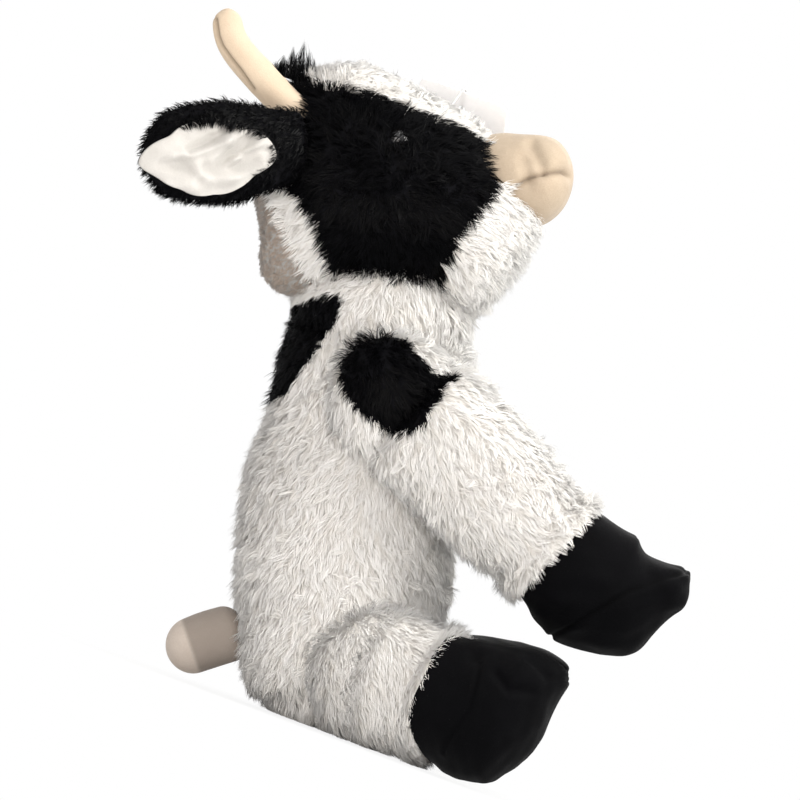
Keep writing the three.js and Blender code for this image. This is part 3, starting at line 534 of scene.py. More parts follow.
# ---- materials
class Tree:
    """The node tree of a material or the world."""

    def __init__(self, owner):
        owner.use_nodes = True
        self.owner, self.nodes, self.links = owner, owner.node_tree.nodes, owner.node_tree.links

    def put(self, socket, value):
        """Links a socket to another, or sets it: a tuple is a colour and a list a vector."""
        if isinstance(value, bpy.types.NodeSocket):
            self.links.new(value, socket)
        else:
            socket.default_value = (*value, 1) if isinstance(value, tuple) else value

    def add(self, kind, inputs=None, **settings):
        """A node with its settings, and its inputs by name or number."""
        node = self.nodes.new("ShaderNode" + kind)
        for name, value in settings.items():
            setattr(node, name, value)
        for key, value in (inputs or {}).items():
            self.put(node.inputs[key], value)
        return node

    def math(self, kind, *values):
        return self.add("Math", dict(enumerate(values)), operation=kind).outputs[0]

    def mix(self, factor, first, second, kind="MIX"):
        return self.add("Mix", {"Factor": factor, "A": first, "B": second},
                        data_type="RGBA", blend_type=kind).outputs["Result"]

    def ramp(self, factor, *stops):
        """A colour ramp over a factor, with (place, colour) stops."""
        node = self.add("ValToRGB", {"Fac": factor})
        marks = node.color_ramp.elements
        for mark, (place, colour) in ((marks[0], stops[0]), (marks[1], stops[-1])):
            mark.position, mark.color = place, (*colour, 1)
        for place, colour in stops[1:-1]:
            marks.new(place).color = (*colour, 1)
        return node.outputs["Color"]

    def between(self, factor, low, high, spread=0.2):
        """A colour that goes from low to high around the middle of a factor."""
        return self.ramp(factor, (0.5 - spread, low), (0.5 + spread, high))

    def noise(self, scale, detail=4.0, rough=0.6):
        place = self.add("TexCoord").outputs["Object"]
        return self.add("TexNoise", {"Scale": scale, "Detail": detail, "Roughness": rough,
                                     "Vector": place}).outputs["Fac"]

    def patch(self):
        return self.add("Attribute", attribute_name="patch").outputs["Fac"]

    def seen(self):
        """1 for what the camera sees, also in a reflection and through something clear."""
        rays = self.add("LightPath").outputs
        return self.math("MAXIMUM", rays["Is Camera Ray"],
                         self.math("MAXIMUM", rays["Is Glossy Ray"], rays["Is Transmission Ray"]))

    def surface(self, bump=None, **values):
        """Sets the shader's sockets, and a bump from a height, strength and distance."""
        shader = self.nodes["Principled BSDF"]
        for name, value in values.items():
            self.put(shader.inputs[name.replace("_", " ")], value)
        if bump is not None:
            made = self.add("Bump", dict(zip(("Height", "Strength", "Distance"), bump)))
            self.put(shader.inputs["Normal"], made.outputs["Normal"])
        return self.owner


def new_material(name):
    return Tree(bpy.data.materials.new(name))


def pile_material(name, colours, spread, rough, sheen, gloss):
    """Long pile in sixteen shades: painted shade darkens each strand towards its root, and it is lighter at the tip.
    """
    tree = new_material(name)
    split = tree.add("SeparateXYZ", {"Vector": tree.add("UVMap", uv_map="OFBake").outputs["UV"]})
    up = tree.math("MULTIPLY", split.outputs["Y"], 1 / CELL_TALL)
    cell = tree.math("FLOOR", tree.math("MULTIPLY", split.outputs["X"], 1 / CELL_WIDE))
    shade = tree.math("DIVIDE", cell, float(SHADES))
    base = tree.ramp(up, *zip((0, 0.45, 1), colours))
    tone = tree.ramp(shade, (0.14, spread[0]), (0.18, spread[1]), (0.6, (1, 1, 1)), (1, (1, 1, 1)))
    return tree.surface(Base_Color=tree.mix(1.0, base, tone, "MULTIPLY"),
                        Roughness=tree.math("MULTIPLY_ADD", shade, 0.15, rough),
                        Specular_IOR_Level=gloss, Sheen_Weight=sheen, Sheen_Roughness=0.4)


def cloth_under_pile():
    """The cloth that the long pile stands on: knitted, black where the patch is."""
    tree = new_material("pile_backing")
    blotch = tree.noise(60.0)
    white = tree.between(blotch, (0.82, 0.79, 0.74), (0.92, 0.90, 0.86))
    black = tree.between(blotch, (0.003, 0.003, 0.004), (0.008, 0.008, 0.010))
    return tree.surface(Base_Color=tree.mix(tree.patch(), white, black), Roughness=0.95,
                        Specular_IOR_Level=0.1, bump=(tree.noise(900.0), 0.6, 0.0006))


def short_pile(name, low, high, rough=0.9, sheen=0.1, gloss=0.2):
    """Short brushed plush: a fine nap with soft rubbed blotches, darkened where the patch attribute says. Pieces use
    that for painted shade in creases and seams, and for the tail's darker root end.
    """
    tree = new_material(name)
    blotch, nap = tree.noise(45.0, 5.0), tree.noise(1100.0, 3.0, 0.7)
    both = tree.math("ADD", tree.math("MULTIPLY", blotch, 0.65), tree.math("MULTIPLY", nap, 0.35))
    # Half the low colour, which the patch attribute mixes in as the darkening.
    base, darkened = tree.between(both, low, high, 0.18), tuple(0.5 * value for value in low)
    return tree.surface(Base_Color=tree.mix(tree.patch(), base, darkened), Roughness=rough, Specular_IOR_Level=gloss,
                        Sheen_Weight=sheen, Sheen_Roughness=0.35, bump=(nap, 0.5, 0.0005))


def hard_plastic():
    tree = new_material("eye_plastic")
    smear = tree.noise(300.0)
    colour = tree.between(smear, (0.003, 0.0022, 0.002), (0.006, 0.0045, 0.004))
    return tree.surface(Base_Color=colour, Roughness=tree.math("MULTIPLY_ADD", smear, 0.08, 0.03),
                        Specular_IOR_Level=1.0)


def clear_plastic():
    tree = new_material("clear_plastic")
    colour = tree.between(tree.noise(500.0), (0.58, 0.58, 0.58), (0.66, 0.66, 0.65))
    return tree.surface(Base_Color=colour, Roughness=0.25)


def card():
    tree = new_material("tag_card")
    fibre = tree.noise(260.0, 6.0)
    colour = tree.between(fibre, (0.73, 0.705, 0.70), (0.77, 0.745, 0.74))
    return tree.surface(Base_Color=colour, Roughness=0.4, Subsurface_Weight=0.9, Subsurface_Radius=[1, 1, 1],
                        Subsurface_Scale=0.004, bump=(fibre, 0.15, 0.0002))


def label_cloth():
    """Woven satin tape."""
    tree = new_material("label_cloth")
    wave = tree.add("TexWave", {"Scale": 900.0, "Vector": tree.add("TexCoord").outputs["Object"]},
                    bands_direction="Z")
    colour = tree.between(tree.noise(200.0), (0.72, 0.71, 0.69), (0.82, 0.81, 0.79))
    return tree.surface(Base_Color=colour, Roughness=0.45, bump=(wave.outputs["Fac"], 0.3, 0.0002))


# Root, middle and tip colours of each pile; the darker roots are painted shade between the strands.
WHITE_PILE = pile_material("long_white_pile", ((0.93, 0.895, 0.85), (0.97, 0.95, 0.92), (0.985, 0.975, 0.955)),
                           ((0.36, 0.295, 0.25), (0.90, 0.88, 0.85)), 0.5, 0.45, 0.3)
BLACK_PILE = pile_material("long_black_pile",
                           ((0.0003, 0.0003, 0.0005), (0.0006, 0.0006, 0.001), (0.0016, 0.0016, 0.0024)),
                           ((0.6, 0.6, 0.7), (0.7, 0.7, 0.8)), 0.2, 0.0, 0.045)
BACKING = cloth_under_pile()
CREAM = short_pile("cream_plush", (0.425, 0.335, 0.247), (0.545, 0.445, 0.335))
HORN_PLUSH = short_pile("horn_plush", (0.62, 0.49, 0.36), (0.71, 0.58, 0.44))
LINING_PLUSH = short_pile("white_plush", (0.52, 0.50, 0.47), (0.64, 0.62, 0.59), sheen=0.05)
BLACK_PLUSH = short_pile("black_plush", (0.0003, 0.0003, 0.0006), (0.0012, 0.0012, 0.0018), 0.8, 0.014, 0.06)
TAIL_PLUSH = short_pile("grey_plush", (0.47, 0.40, 0.345), (0.59, 0.52, 0.46))
EYE_PLASTIC, CLEAR_PLASTIC, CARD, LABEL = hard_plastic(), clear_plastic(), card(), label_cloth()


# ---- patches, as outlines seen from the side (forward, up)
HEAD_PATCH = [(-150, 334), (-131, 334), (-120, 335), (-106, 337), (-92, 339), (-74, 339), (-56, 339), (-41, 339),
              (-26, 337), (-13, 330), (-4, 319), (-5, 307), (-11, 294), (-15, 280), (-16, 267), (-15, 248),
              (-27, 241), (-48, 235), (-67, 231), (-82, 240), (-90, 251), (-101, 262), (-113, 271), (-123, 282),
              (-129, 291), (-150, 305)]
NAPE_PATCH = [(-130, 190), (-97, 207), (-86, 217), (-74, 227), (-66, 228), (-65, 214), (-68, 198), (-73, 182),
              (-77, 166), (-88, 154), (-130, 150)]
SHOULDER_PATCH = [(-59, 203), (-54, 213), (-46, 217), (-46, 225), (-42, 225), (-39, 219), (-30, 218), (-22, 216),
                  (-12, 211), (-4, 206), (9, 209), (3, 196), (2, 178), (-8, 167), (-22, 165), (-39, 172),
                  (-52, 182), (-58, 193)]


def patch_edge(points, seed):
    """Places seen from the side, moved a little, so a patch's edge wanders as sewn pile does."""
    return -points[:, 1] + ripples(points, 9, seed), points[:, 2] + ripples(points, 7, seed + 1)


def head_black(points):
    forward, up = patch_edge(points, 11)
    side = np.abs(points[:, 0])
    patch = inside_outline(HEAD_PATCH, forward, up) & (side > 14)
    crown = (forward < -127) & (side < 24) & (up > 318)
    return patch | crown


def torso_black(points):
    forward, up = patch_edge(points, 13)
    return inside_outline(NAPE_PATCH, forward, up)


def arm_black(points):
    forward, up = patch_edge(points, 17)
    return inside_outline(SHOULDER_PATCH, forward, up) & (np.abs(points[:, 0]) > 55)


def all_one(black):
    """A piece with no patch edge, all black or all white."""
    return lambda points: np.full(len(points), black)


# ---- combing
def towards(points, vector):
    return np.broadcast_to(unit(np.asarray(vector, float)), points.shape).copy()


def comb_torso(points):
    comb = towards(points, at(0, 0.3, -1))
    swirl = ripples(points, 70, 5)[:, None] * at(0, 0.5, 0.1) + ripples(points, 60, 6)[:, None] * at(0.35, 0, 0)
    return comb + swirl * 0.6


def comb_head(points):
    out = points - at(0, -70, 292)
    out[:, 0] = 0
    far = np.linalg.norm(out, axis=1, keepdims=True)
    comb = out / np.maximum(far, 1) * np.clip(far / 55, 0, 1) + at(0, 0, -0.3)
    top = ramp(points[:, 2], 322, 338)[:, None]
    comb = comb * (1 - top) + at(0, 0.9, 0.0) * top
    return comb + ripples(points, 40, 7)[:, None] * at(0, 0.3, 0.15)


def comb_arm(points):
    return towards(points, at(0, 0.75, -0.65)) + ripples(points, 50, 8)[:, None] * at(0.1, 0.25, 0.2)


def comb_leg(way):
    forward, _ = leg_lines(way)
    return lambda points: (towards(points, forward - UP * 0.7)
                           + ripples(points, 45, 9)[:, None] * at(0.1, 0.2, 0.2))


# ---- marks, as (forward, up) seen from the side
def near(points, mark, width):
    """1 on a point or a list of points in a line, falling to 0 away from it."""
    seen = np.column_stack([-points[:, 1], points[:, 2]])
    away = np.linalg.norm(seen - mark, axis=1) if isinstance(mark, tuple) else off_line(seen, mark)
    return np.exp(-(away / width) ** 2)


def marked(points, marks):
    """The height of grooves and bulges: (mark, width, height)."""
    return sum(high * near(points, mark, width) for mark, width, high in marks)


def shifted(points, marks):
    """Moves seen from the side, near points: (point, width, (forward, up))."""
    return sum(near(points, mark, width)[:, None] * at(0, *move) for mark, width, move in marks)


# ---- furry pieces
PILE_INSET = 6.4             # the skin's depth below the CAD envelope
PILE_LENGTH, PILE_LIFT = 11.5, 0.45
PER_MM2, STRAND_WIDE = 0.95, 0.43
CALM_FROM, CALM_TO = 44, 60  # the skin's lumps fade in between these distances from a hoof's seam
BURIED = 5.5                 # a root this far below another form's skin isn't grown
SEAM_GAP = 0.8               # between the last strands and a hoof's seam
SEAT_GAP, HOOF_GAP = 0.6, 0.4                        # between the skins and the floor
PANEL_SHADES = 3             # the dull shades at the back of the head


def stuffed(made, body, nodes):
    """Attaches a piece to what it rides on, and hides the CAD nodes it stands for."""
    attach(made, body)
    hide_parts(*nodes)


def within(form, margin):
    """A test for places inside a form, by at least a margin."""
    return lambda points: form.holds(points, margin)


def furry(body, nodes, forms, black, comb, seed, others, length=PILE_LENGTH, lift=PILE_LIFT, start_inset=None,
          lumps=1.4, per_mm2=PER_MM2, inset=PILE_INSET, clump=(3.2, 0.6, 0.35), seam=None, collar=3.6,
          shape=None, dull=None):
    """A pile-covered stuffed piece: its backing cloth and the strands on it."""
    skin = Skin([form.shell(inset, start_inset, seam=seam) if k == 0 else form.shell(inset)
                 for k, form in enumerate(forms)])
    calm = 1.0
    if seam is not None:
        end = forms[0].at(np.array([seam]))[0][0]
        calm = ramp(np.linalg.norm(skin.points - end, axis=1), CALM_FROM, CALM_TO)
    skin.push(ripples(skin.points, 60, seed) * lumps * calm)
    if shape is not None:
        skin.push(shape(skin.points))
    skin.points[:, 2] = np.maximum(skin.points[:, 2], SEAT_GAP)
    patch = black(skin.points)
    if dull is not None:
        patch = np.maximum(patch, 0.6 * dull(skin.points))
    stuffed(skin.piece(f"{body}_backing", BACKING, patch), body, nodes)
    density = per_mm2 * FEWER
    place, normal = skin.scatter(density, seed)
    buried = np.zeros(len(place), bool)
    for inside in [within(form, inset + BURIED) for form in forms] + others:
        buried |= inside(place)
    place, normal = place[~buried], normal[~buried]
    length = length(place) if callable(length) else length
    lift = lift(place) if callable(lift) else lift
    if seam is not None:
        line = unit(end - forms[0].at(np.array([seam - 10]))[0][0])
        length = np.minimum(length, np.maximum((end - place) @ line, 0) + collar)
    corners, cell, facing, seen = grow(place, normal, comb(place), length, STRAND_WIDE / sqrt(FEWER), lift, clump,
                                       density, seed + 1)
    if dull is not None:
        cell = np.where(dull(place) > 0.4, cell % PANEL_SHADES, cell)
    dark = black(seen)
    for colour, material, chosen in (("white", WHITE_PILE, ~dark), ("black", BLACK_PILE, dark)):
        strand_pieces(f"{body}_pile_{colour}", body, material, corners[chosen], cell[chosen],
                      facing[chosen])


def under_arm(way):
    """A test for places that the arm covers both at rest and raised."""
    arm, pivot = arm_form(way), shoulder(way)
    lifted = np.array(Matrix.Rotation(ARM_RAISE, 3, Vector((1, 0, 0)))).T
    return lambda p: arm.holds(p, 9) & arm.holds((p - pivot) @ lifted + pivot, 9)


def make_torso():
    others = [within(HEAD, 16)]
    for way in SIDES.values():
        others += [under_arm(way), within(shoulder_ball(way), 8), within(hip_ball(way), 12),
                   within(leg_form(way), 14)]
    furry("torso", ["torso_cover", "torso_stuffing", "seat_pellet_bag"], [TORSO, NECK_BALL], torso_black, comb_torso,
          101, others, start_inset=3.0, length=torso_length)


def torso_length(points):
    """The pile is shorter at the nape, where the head nods back on it."""
    return PILE_LENGTH - 4.5 * near(points, (-82, 214), 24)


def make_head():
    others = [within(MUZZLE, 6), within(NECK_BALL, 14)] + [within(horn_form(way), 1) for way in SIDES.values()]
    furry("head", ["head_cover", "head_stuffing"], [HEAD], head_black, comb_head, 201, others,
          length=head_length, lift=head_lift, shape=head_shape, dull=back_panel)
    make_forelock()


def back_panel(points):
    """How far a place belongs to the short-piled panel at the back of the head."""
    edge = -119 + (265 - points[:, 2])
    return ramp(edge + points[:, 1], -3, 4) * ramp(points[:, 2], 312, 300)


def blaze(points):
    """How far a place belongs to the white blaze over the crown."""
    return ramp(points[:, 2], 330, 342) * ramp(np.abs(points[:, 0]), 34, 20)


NAPE_MARKS = [((-122, 238), 20, -6.0), ((-92, 224), 14, 1.5)]


def head_shape(points):
    """The skin stands out where the pile is short, and the nape end of the head hangs a little lower."""
    return 4.5 * back_panel(points) + 4.5 * blaze(points) + marked(points, NAPE_MARKS)


def head_length(points):
    return PILE_LENGTH - 8.2 * back_panel(points) - 5.5 * blaze(points)


def head_lift(points):
    return 0.5 - 0.15 * back_panel(points) - 0.3 * blaze(points)


# Tips of the forelock's tufts, as (forward, up, sideways)
FORELOCK = [(-134, 354, -3), (-139, 349, 6), (-130, 350, 5), (-142, 343, -8), (-146, 338, 2), (-126, 347, -6),
            (-136, 347, 12), (-132, 346, -13), (-140, 341, 15), (-128, 343, 13), (-135, 342, -19),
            (-143, 339, 10), (-129, 342, -15)]


def make_forelock():
    """Pointed wisps of long black strands between the horns."""
    rng = np.random.default_rng(77)
    per_tuft = 34
    place, lean, goal = [], [], []
    for forward, up, sideways in FORELOCK:
        tip = at(sideways, forward, up)
        foot = at(sideways * 0.8, forward + 3 + rng.uniform(-1, 2), 331)
        way = unit(tip - foot)
        place.append(foot + rng.normal(size=(per_tuft, 3)) * (1.5, 1.5, 0))
        lean.append(np.broadcast_to(way, (per_tuft, 3)))
        goal.append(tip - way * rng.uniform(0, 5, (per_tuft, 1)))
    place, lean, goal = np.vstack(place), np.vstack(lean), np.vstack(goal)
    reach = np.linalg.norm(goal - place, axis=1)
    corners, cell, facing, _ = grow(place, lean, lean * 0, reach, 0.42, 1.0, (400.0, 0.0, 0.0), 1.0, 78, -0.05, goal)
    strand_pieces("forelock_pile", "head", BLACK_PILE, corners, cell, facing)


def near_seam(form):
    """A test for places at the seam where the hoof begins, or past it."""
    ends = form.at(form.length - HOOF_LAP + np.array([-1, 1]))[0]
    line = unit(ends[1] - ends[0])
    return lambda p: (p - ends.mean(0)) @ line > -SEAM_GAP


def hip_fill(way):
    """The skin bridges the hollow between the hip and the leg."""
    def shape(points):
        along = (points - hip(way)) @ leg_lines(way)[0]
        return 3.4 * np.exp(-((along - 13) / 9) ** 2) - 2.6 * np.exp(-((along + 16) / 13) ** 2)
    return shape


def make_limbs():
    for side, way in SIDES.items():
        arm, leg = arm_form(way), leg_form(way)
        furry(f"arm_{side}", [f"arm_cover_{side}", f"arm_stuffing_{side}"], [arm, shoulder_ball(way)],
              arm_black, comb_arm, 301, [within(TORSO, 14), within(front_hoof_form(way), 2), near_seam(arm)],
              seam=arm.length - HOOF_LAP, collar=4.5)
        furry(f"leg_{side}", [f"leg_cover_{side}", f"leg_stuffing_{side}"], [leg, hip_ball(way)],
              all_one(False), comb_leg(way), 401,
              [within(TORSO, 14), within(hind_hoof_form(way), 2), near_seam(leg)],
              seam=leg.length - HOOF_LAP, clump=(3.0, 0.5, 0.15), shape=hip_fill(way))


# ---- short-pile pieces
PLUSH_INSET, PLUSH_FILL = 0.6, 0.85
RELAX_ROUNDS = 120


def relax(skin, weight):
    """Smooths the places of a skin by their neighbours, where the weight says so."""
    pairs = np.vstack([skin.triangles[:, [0, 1]], skin.triangles[:, [1, 2]], skin.triangles[:, [2, 0]]])
    pairs = np.vstack([pairs, pairs[:, ::-1]])
    share = np.bincount(pairs[:, 0], minlength=len(skin.points))[:, None]
    for _ in range(RELAX_ROUNDS):
        total = np.column_stack([np.bincount(pairs[:, 0], skin.points[pairs[:, 1], k], len(skin.points))
                                 for k in range(3)])
        skin.points = skin.points + (total / share - skin.points) * weight[:, None]


def plush(name, body, nodes, form, material, seed, shape=None, shift=None, darkening=None, calm=None, sides=96):
    """A short-pile stuffed piece, with its creases and seams pressed in, and its colour darkened by a mask. On
    creases and seams the darkening is painted shade.
    """
    skin = Skin([form.shell(PLUSH_INSET, sides=sides)])
    # The darkening mask goes to the material's patch attribute; along creases and seams it is painted shade.
    darkened = np.zeros(len(skin.points)) if darkening is None else np.clip(darkening(skin.points), 0, 1)
    moved = 0 if shift is None else shift(skin.points)
    skin.push(ripples(skin.points, 34, seed) * 0.5 + (0 if shape is None else shape(skin.points)))
    skin.points = skin.points + moved
    if calm is not None:
        relax(skin, calm(skin.points))
    skin.points[:, 2] = np.maximum(skin.points[:, 2], HOOF_GAP)
    stuffed(skin.piece(name, material, darkened), body, nodes)


MOUTH = [(-6, 306), (0, 314), (8, 325), (15, 330), (25, 334), (31, 333), (38, 330)]
LIP_FOLD, CHEEK_FOLD = [(3, 342), (15, 331)], [(2, 333), (8, 323)]
MUZZLE_MARKS = [(MOUTH, 1.6, -2.6), (MOUTH, 5, -1.6), (LIP_FOLD, 3.6, -3.0), (CHEEK_FOLD, 3.6, -2.2),
                ((27, 321), 14, 2.2), ((20, 343), 9, 1.5), ((1, 326), 6, 1.4)]
# Painted shade along the mouth seam and the two folds of the muzzle, as (line, width, strength).
MUZZLE_CREASE_SHADE = [(MOUTH, 1.0, 0.7), (LIP_FOLD, 4, 0.25), (CHEEK_FOLD, 4, 0.25)]
HORN_SEAM = [(-185, 348), (-180, 339.5), (-176, 334.5), (-169, 329.5), (-162, 325.5), (-151, 318)]
HORN_MARKS = [(HORN_SEAM, 1.1, -1.6), (HORN_SEAM, 3.5, 0.7)]
FRONT_SEAM = [(166, 152), (136, 130), (114, 103), (104, 92)]
FRONT_MARKS = [(FRONT_SEAM, 1.3, -1.8), (FRONT_SEAM, 5.5, 1.4)]
# The toe is drawn out to a blunt nub above the seam and pinched below it
FRONT_SHIFTS = [((163, 152), 9, (2.5, 2.5)), ((139, 153), 10, (3, 6)), ((164, 118), 16, (-6.5, 4.5)),
                ((135, 92), 16, (0, 3))]
HIND_SEAM = [(75, 66), (77, 40), (71, 13)]
HIND_MARKS = [(HIND_SEAM, 1.3, -1.4), (HIND_SEAM, 5, 0.7), ([(84, 64), (93, 58), (104, 61)], 2.6, -2.4),
              ([(98, 76), (108, 70), (117, 74)], 2.2, -2.0), ((72, 68), 4.5, -3.2), ((98, 70), 6, 1.4)]
# The toe comes to a corner at the top, above a sole that slants back under it
HIND_SHIFTS = [((122, 79), 14, (16, 4)), ((109, 8), 20, (-3, 4)), ((52, 60), 22, (-3, 0)), ((52, 28), 18, (-5, -1)),
               ((60, 4), 14, (3, 3)), ((62, 80), 18, (-3, 0))]


def cheeks(points):
    return ramp(np.abs(points[:, 0]), 10, 24)


def horn_outside(points):
    return ramp(np.abs(points[:, 0]), 27, 32)


def front_hoof_calm(points):
    """The hollow before the nub, where the form's rings crowd together."""
    return np.clip(1.6 * near(points, (134, 160), 13), 0, 0.95)


def make_short_pile():
    plush("muzzle", "head", ["muzzle_cover", "muzzle_stuffing"], MUZZLE, CREAM, 501, sides=200,
          shape=lambda p: cheeks(p) * marked(p, MUZZLE_MARKS), darkening=lambda p: cheeks(p) * marked(p, MUZZLE_CREASE_SHADE))
    plush("tail", "tail", ["tail_cover", "tail_stuffing"], tail_form(), TAIL_PLUSH, 511,
          # The tail is darker from its root to near its tip.
          darkening=lambda p: 0.75 * (1 - ramp((p - TAIL_ROOT) @ TAIL_LINE, 32, 35)))
    for side, way in SIDES.items():
        plush(f"horn_{side}", "head", [f"horn_cover_{side}", f"horn_stuffing_{side}"], horn_form(way),
              HORN_PLUSH, 521, sides=120,
              shape=lambda p: marked(p, HORN_MARKS) * horn_outside(p) - 1.5,
              # Painted shade along the horn's seam groove.
              darkening=lambda p: 0.9 * near(p, HORN_SEAM, 1.0) * horn_outside(p))
        plush(f"front_hoof_plush_{side}", f"arm_{side}", [f"front_hoof_{side}"], front_hoof_form(way),
              BLACK_PLUSH, 531, sides=180,
              shape=lambda p: marked(p, FRONT_MARKS) + ripples(p, 15, 533) * 0.4,
              # The darkening along the seam is painted shade in its groove.
              shift=lambda p: shifted(p, FRONT_SHIFTS), darkening=lambda p: 0.6 * near(p, FRONT_SEAM, 1.2),
              calm=front_hoof_calm)
        plush(f"hind_hoof_plush_{side}", f"leg_{side}", [f"hind_hoof_{side}"], hind_hoof_form(way),
              BLACK_PLUSH, 541, sides=180,
              shape=lambda p: marked(p, HIND_MARKS) + ripples(p, 16, 543) * 0.25,
              shift=lambda p: shifted(p, HIND_SHIFTS))
        make_eye(side)


def make_eye(side):
    """A glossy domed eye on the axis of the CAD one."""
    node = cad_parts[f"eye_{side}"]
    corners = np.array([tuple(vertex.co) for vertex in node.data.vertices]) / MM
    middle = corners.mean(0)
    _, spread, axes = np.linalg.svd(corners - middle, full_matrices=False)
    odd = 0 if spread[0] - spread[1] > spread[1] - spread[2] else 2
    axis = axes[odd] * np.sign(axes[odd] @ (middle - at(0, -66, 300)) + 1e-9)
    foot = middle + axis * (((corners - middle) @ axis).max() - 8)
    side_line = unit(np.cross(axis, UP))
    other, angle = np.cross(axis, side_line), even_turn(48)
    round_it = np.outer(np.cos(angle), side_line) + np.outer(np.sin(angle), other)
    profile = [(6.0, -3.0), (6.7, -1.5)] + [(7 * cos(t), 6 * sin(t)) for t in np.linspace(0, 1.45, 14)]
    rings = [foot + axis * high + radius * round_it for radius, high in profile]
    made = mesh_object(f"eye_dome_{side}", np.vstack(rings + [[foot + axis * -3], [foot + axis * 6]]),
                       loft_faces(len(profile), len(angle)), EYE_PLASTIC)
    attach(made, "head")
    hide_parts(f"eye_{side}")


# ---- ears
# The lining's edge and creases, as (along the ear, up it)
LINING_EDGE = [(98, -4), (93, 4), (79, 10), (65, 17), (56, 19), (48, 18), (40, 15), (29, 11), (19, 2), (17, -6),
               (31, -14), (41, -21), (55, -23), (74, -19), (88, -11)]
LINING_CREASES = [([(70, 2), (53, 8), (41, 14)], 2.6, 2.4), ([(52, -6), (37, 4), (27, 9)], 3.4, 2.6),
                  ([(30, -9), (45, -11), (60, -8)], 1.8, 3.0), ([(86, -4), (72, -7), (64, -15)], 1.6, 3.0),
                  ([(24, 0), (36, -3), (46, 0)], 1.6, 2.2)]
LINING_RIDGES = [([(80, -1), (60, 1), (46, 7)], 1.8, 3.2), ([(66, -13), (50, -16), (38, -14)], 1.6, 3.5),
                 ([(44, -5), (32, 1), (22, 4)], 1.8, 2.6)]
LINING_MIDDLE = (56, -2)
LINING_THICK = 1.8
FRINGE_STRANDS = 2600        # drawn all round, most of them dropped
FRINGE_TOP = radians(122)    # where the fringe is thickest


def lining_reach(angle):
    """How far the lining's edge is from its middle, at an angle."""
    edge = np.array(LINING_EDGE, float) - LINING_MIDDLE
    round_it = np.arctan2(edge[:, 1], edge[:, 0])
    order = np.argsort(round_it)
    grid = np.linspace(-pi, pi, 181)[:-1]
    reach = np.interp(grid, round_it[order], np.hypot(edge[:, 0], edge[:, 1])[order], period=2 * pi)
    kernel = np.array([1, 2, 3, 4, 3, 2, 1]) / 16
    reach = np.convolve(np.concatenate([reach[-3:], reach, reach[:3]]), kernel, "valid")
    return np.interp(angle, grid, reach, period=2 * pi)


def make_ears():
    for side, way in SIDES.items():
        root, line, tall, face = ear_frame(way)

        def comb(points):
            up = ((points - root) @ tall)[:, None] / 30
            return line * 0.8 + up * tall * 0.15 - tall * 0.35

        def in_lining(points):
            off = points - root
            along, high = off @ line - LINING_MIDDLE[0], off @ tall - LINING_MIDDLE[1]
            return (off @ face > 0.5) & (np.hypot(along, high) < 0.97 * lining_reach(np.arctan2(high, along)))

        furry(f"ear_{side}", [f"ear_back_{side}"], [ear_form(way)], all_one(True), comb, 601, [in_lining],
              length=6.5, lumps=0.3, inset=3.2, clump=(2.2, 0.5, 0.3), per_mm2=1.3)
        make_lining(side, way)
        fringe(side, way)


def fringe(side, way):
    """Black strands along the ear's edge that hang over the lining, thickest towards the root above."""
    root, line, tall, face = ear_frame(way)
    rng = np.random.default_rng(611)
    count = int(FRINGE_STRANDS * FEWER)
    angle = rng.uniform(-pi, pi, count)
    reach = lining_reach(angle)
    over = np.clip(np.cos(angle - FRINGE_TOP), 0, 1) ** 1.5
    keep = rng.uniform(size=count) < over * 1.3
    angle, reach, over = angle[keep], reach[keep], over[keep]
    out = unit(np.outer(np.cos(angle), line) + np.outer(np.sin(angle), tall))
    place = (root + LINING_MIDDLE[0] * line + LINING_MIDDLE[1] * tall + face * 5.5
             + out * (reach + rng.uniform(0.0, 2.5, len(angle)))[:, None])
    normal = np.broadcast_to(face, place.shape)
    comb = -out * 0.9 + line * 0.25
    length = 6.5 + 4.5 * over
    corners, cell, facing, _ = grow(place, normal, comb, length, STRAND_WIDE / sqrt(FEWER), 0.75,
                                    (2.4, 0.6, 0.3), 1.6, 612)
    strand_pieces(f"ear_{side}_fringe", f"ear_{side}", BLACK_PILE, corners, cell, facing)


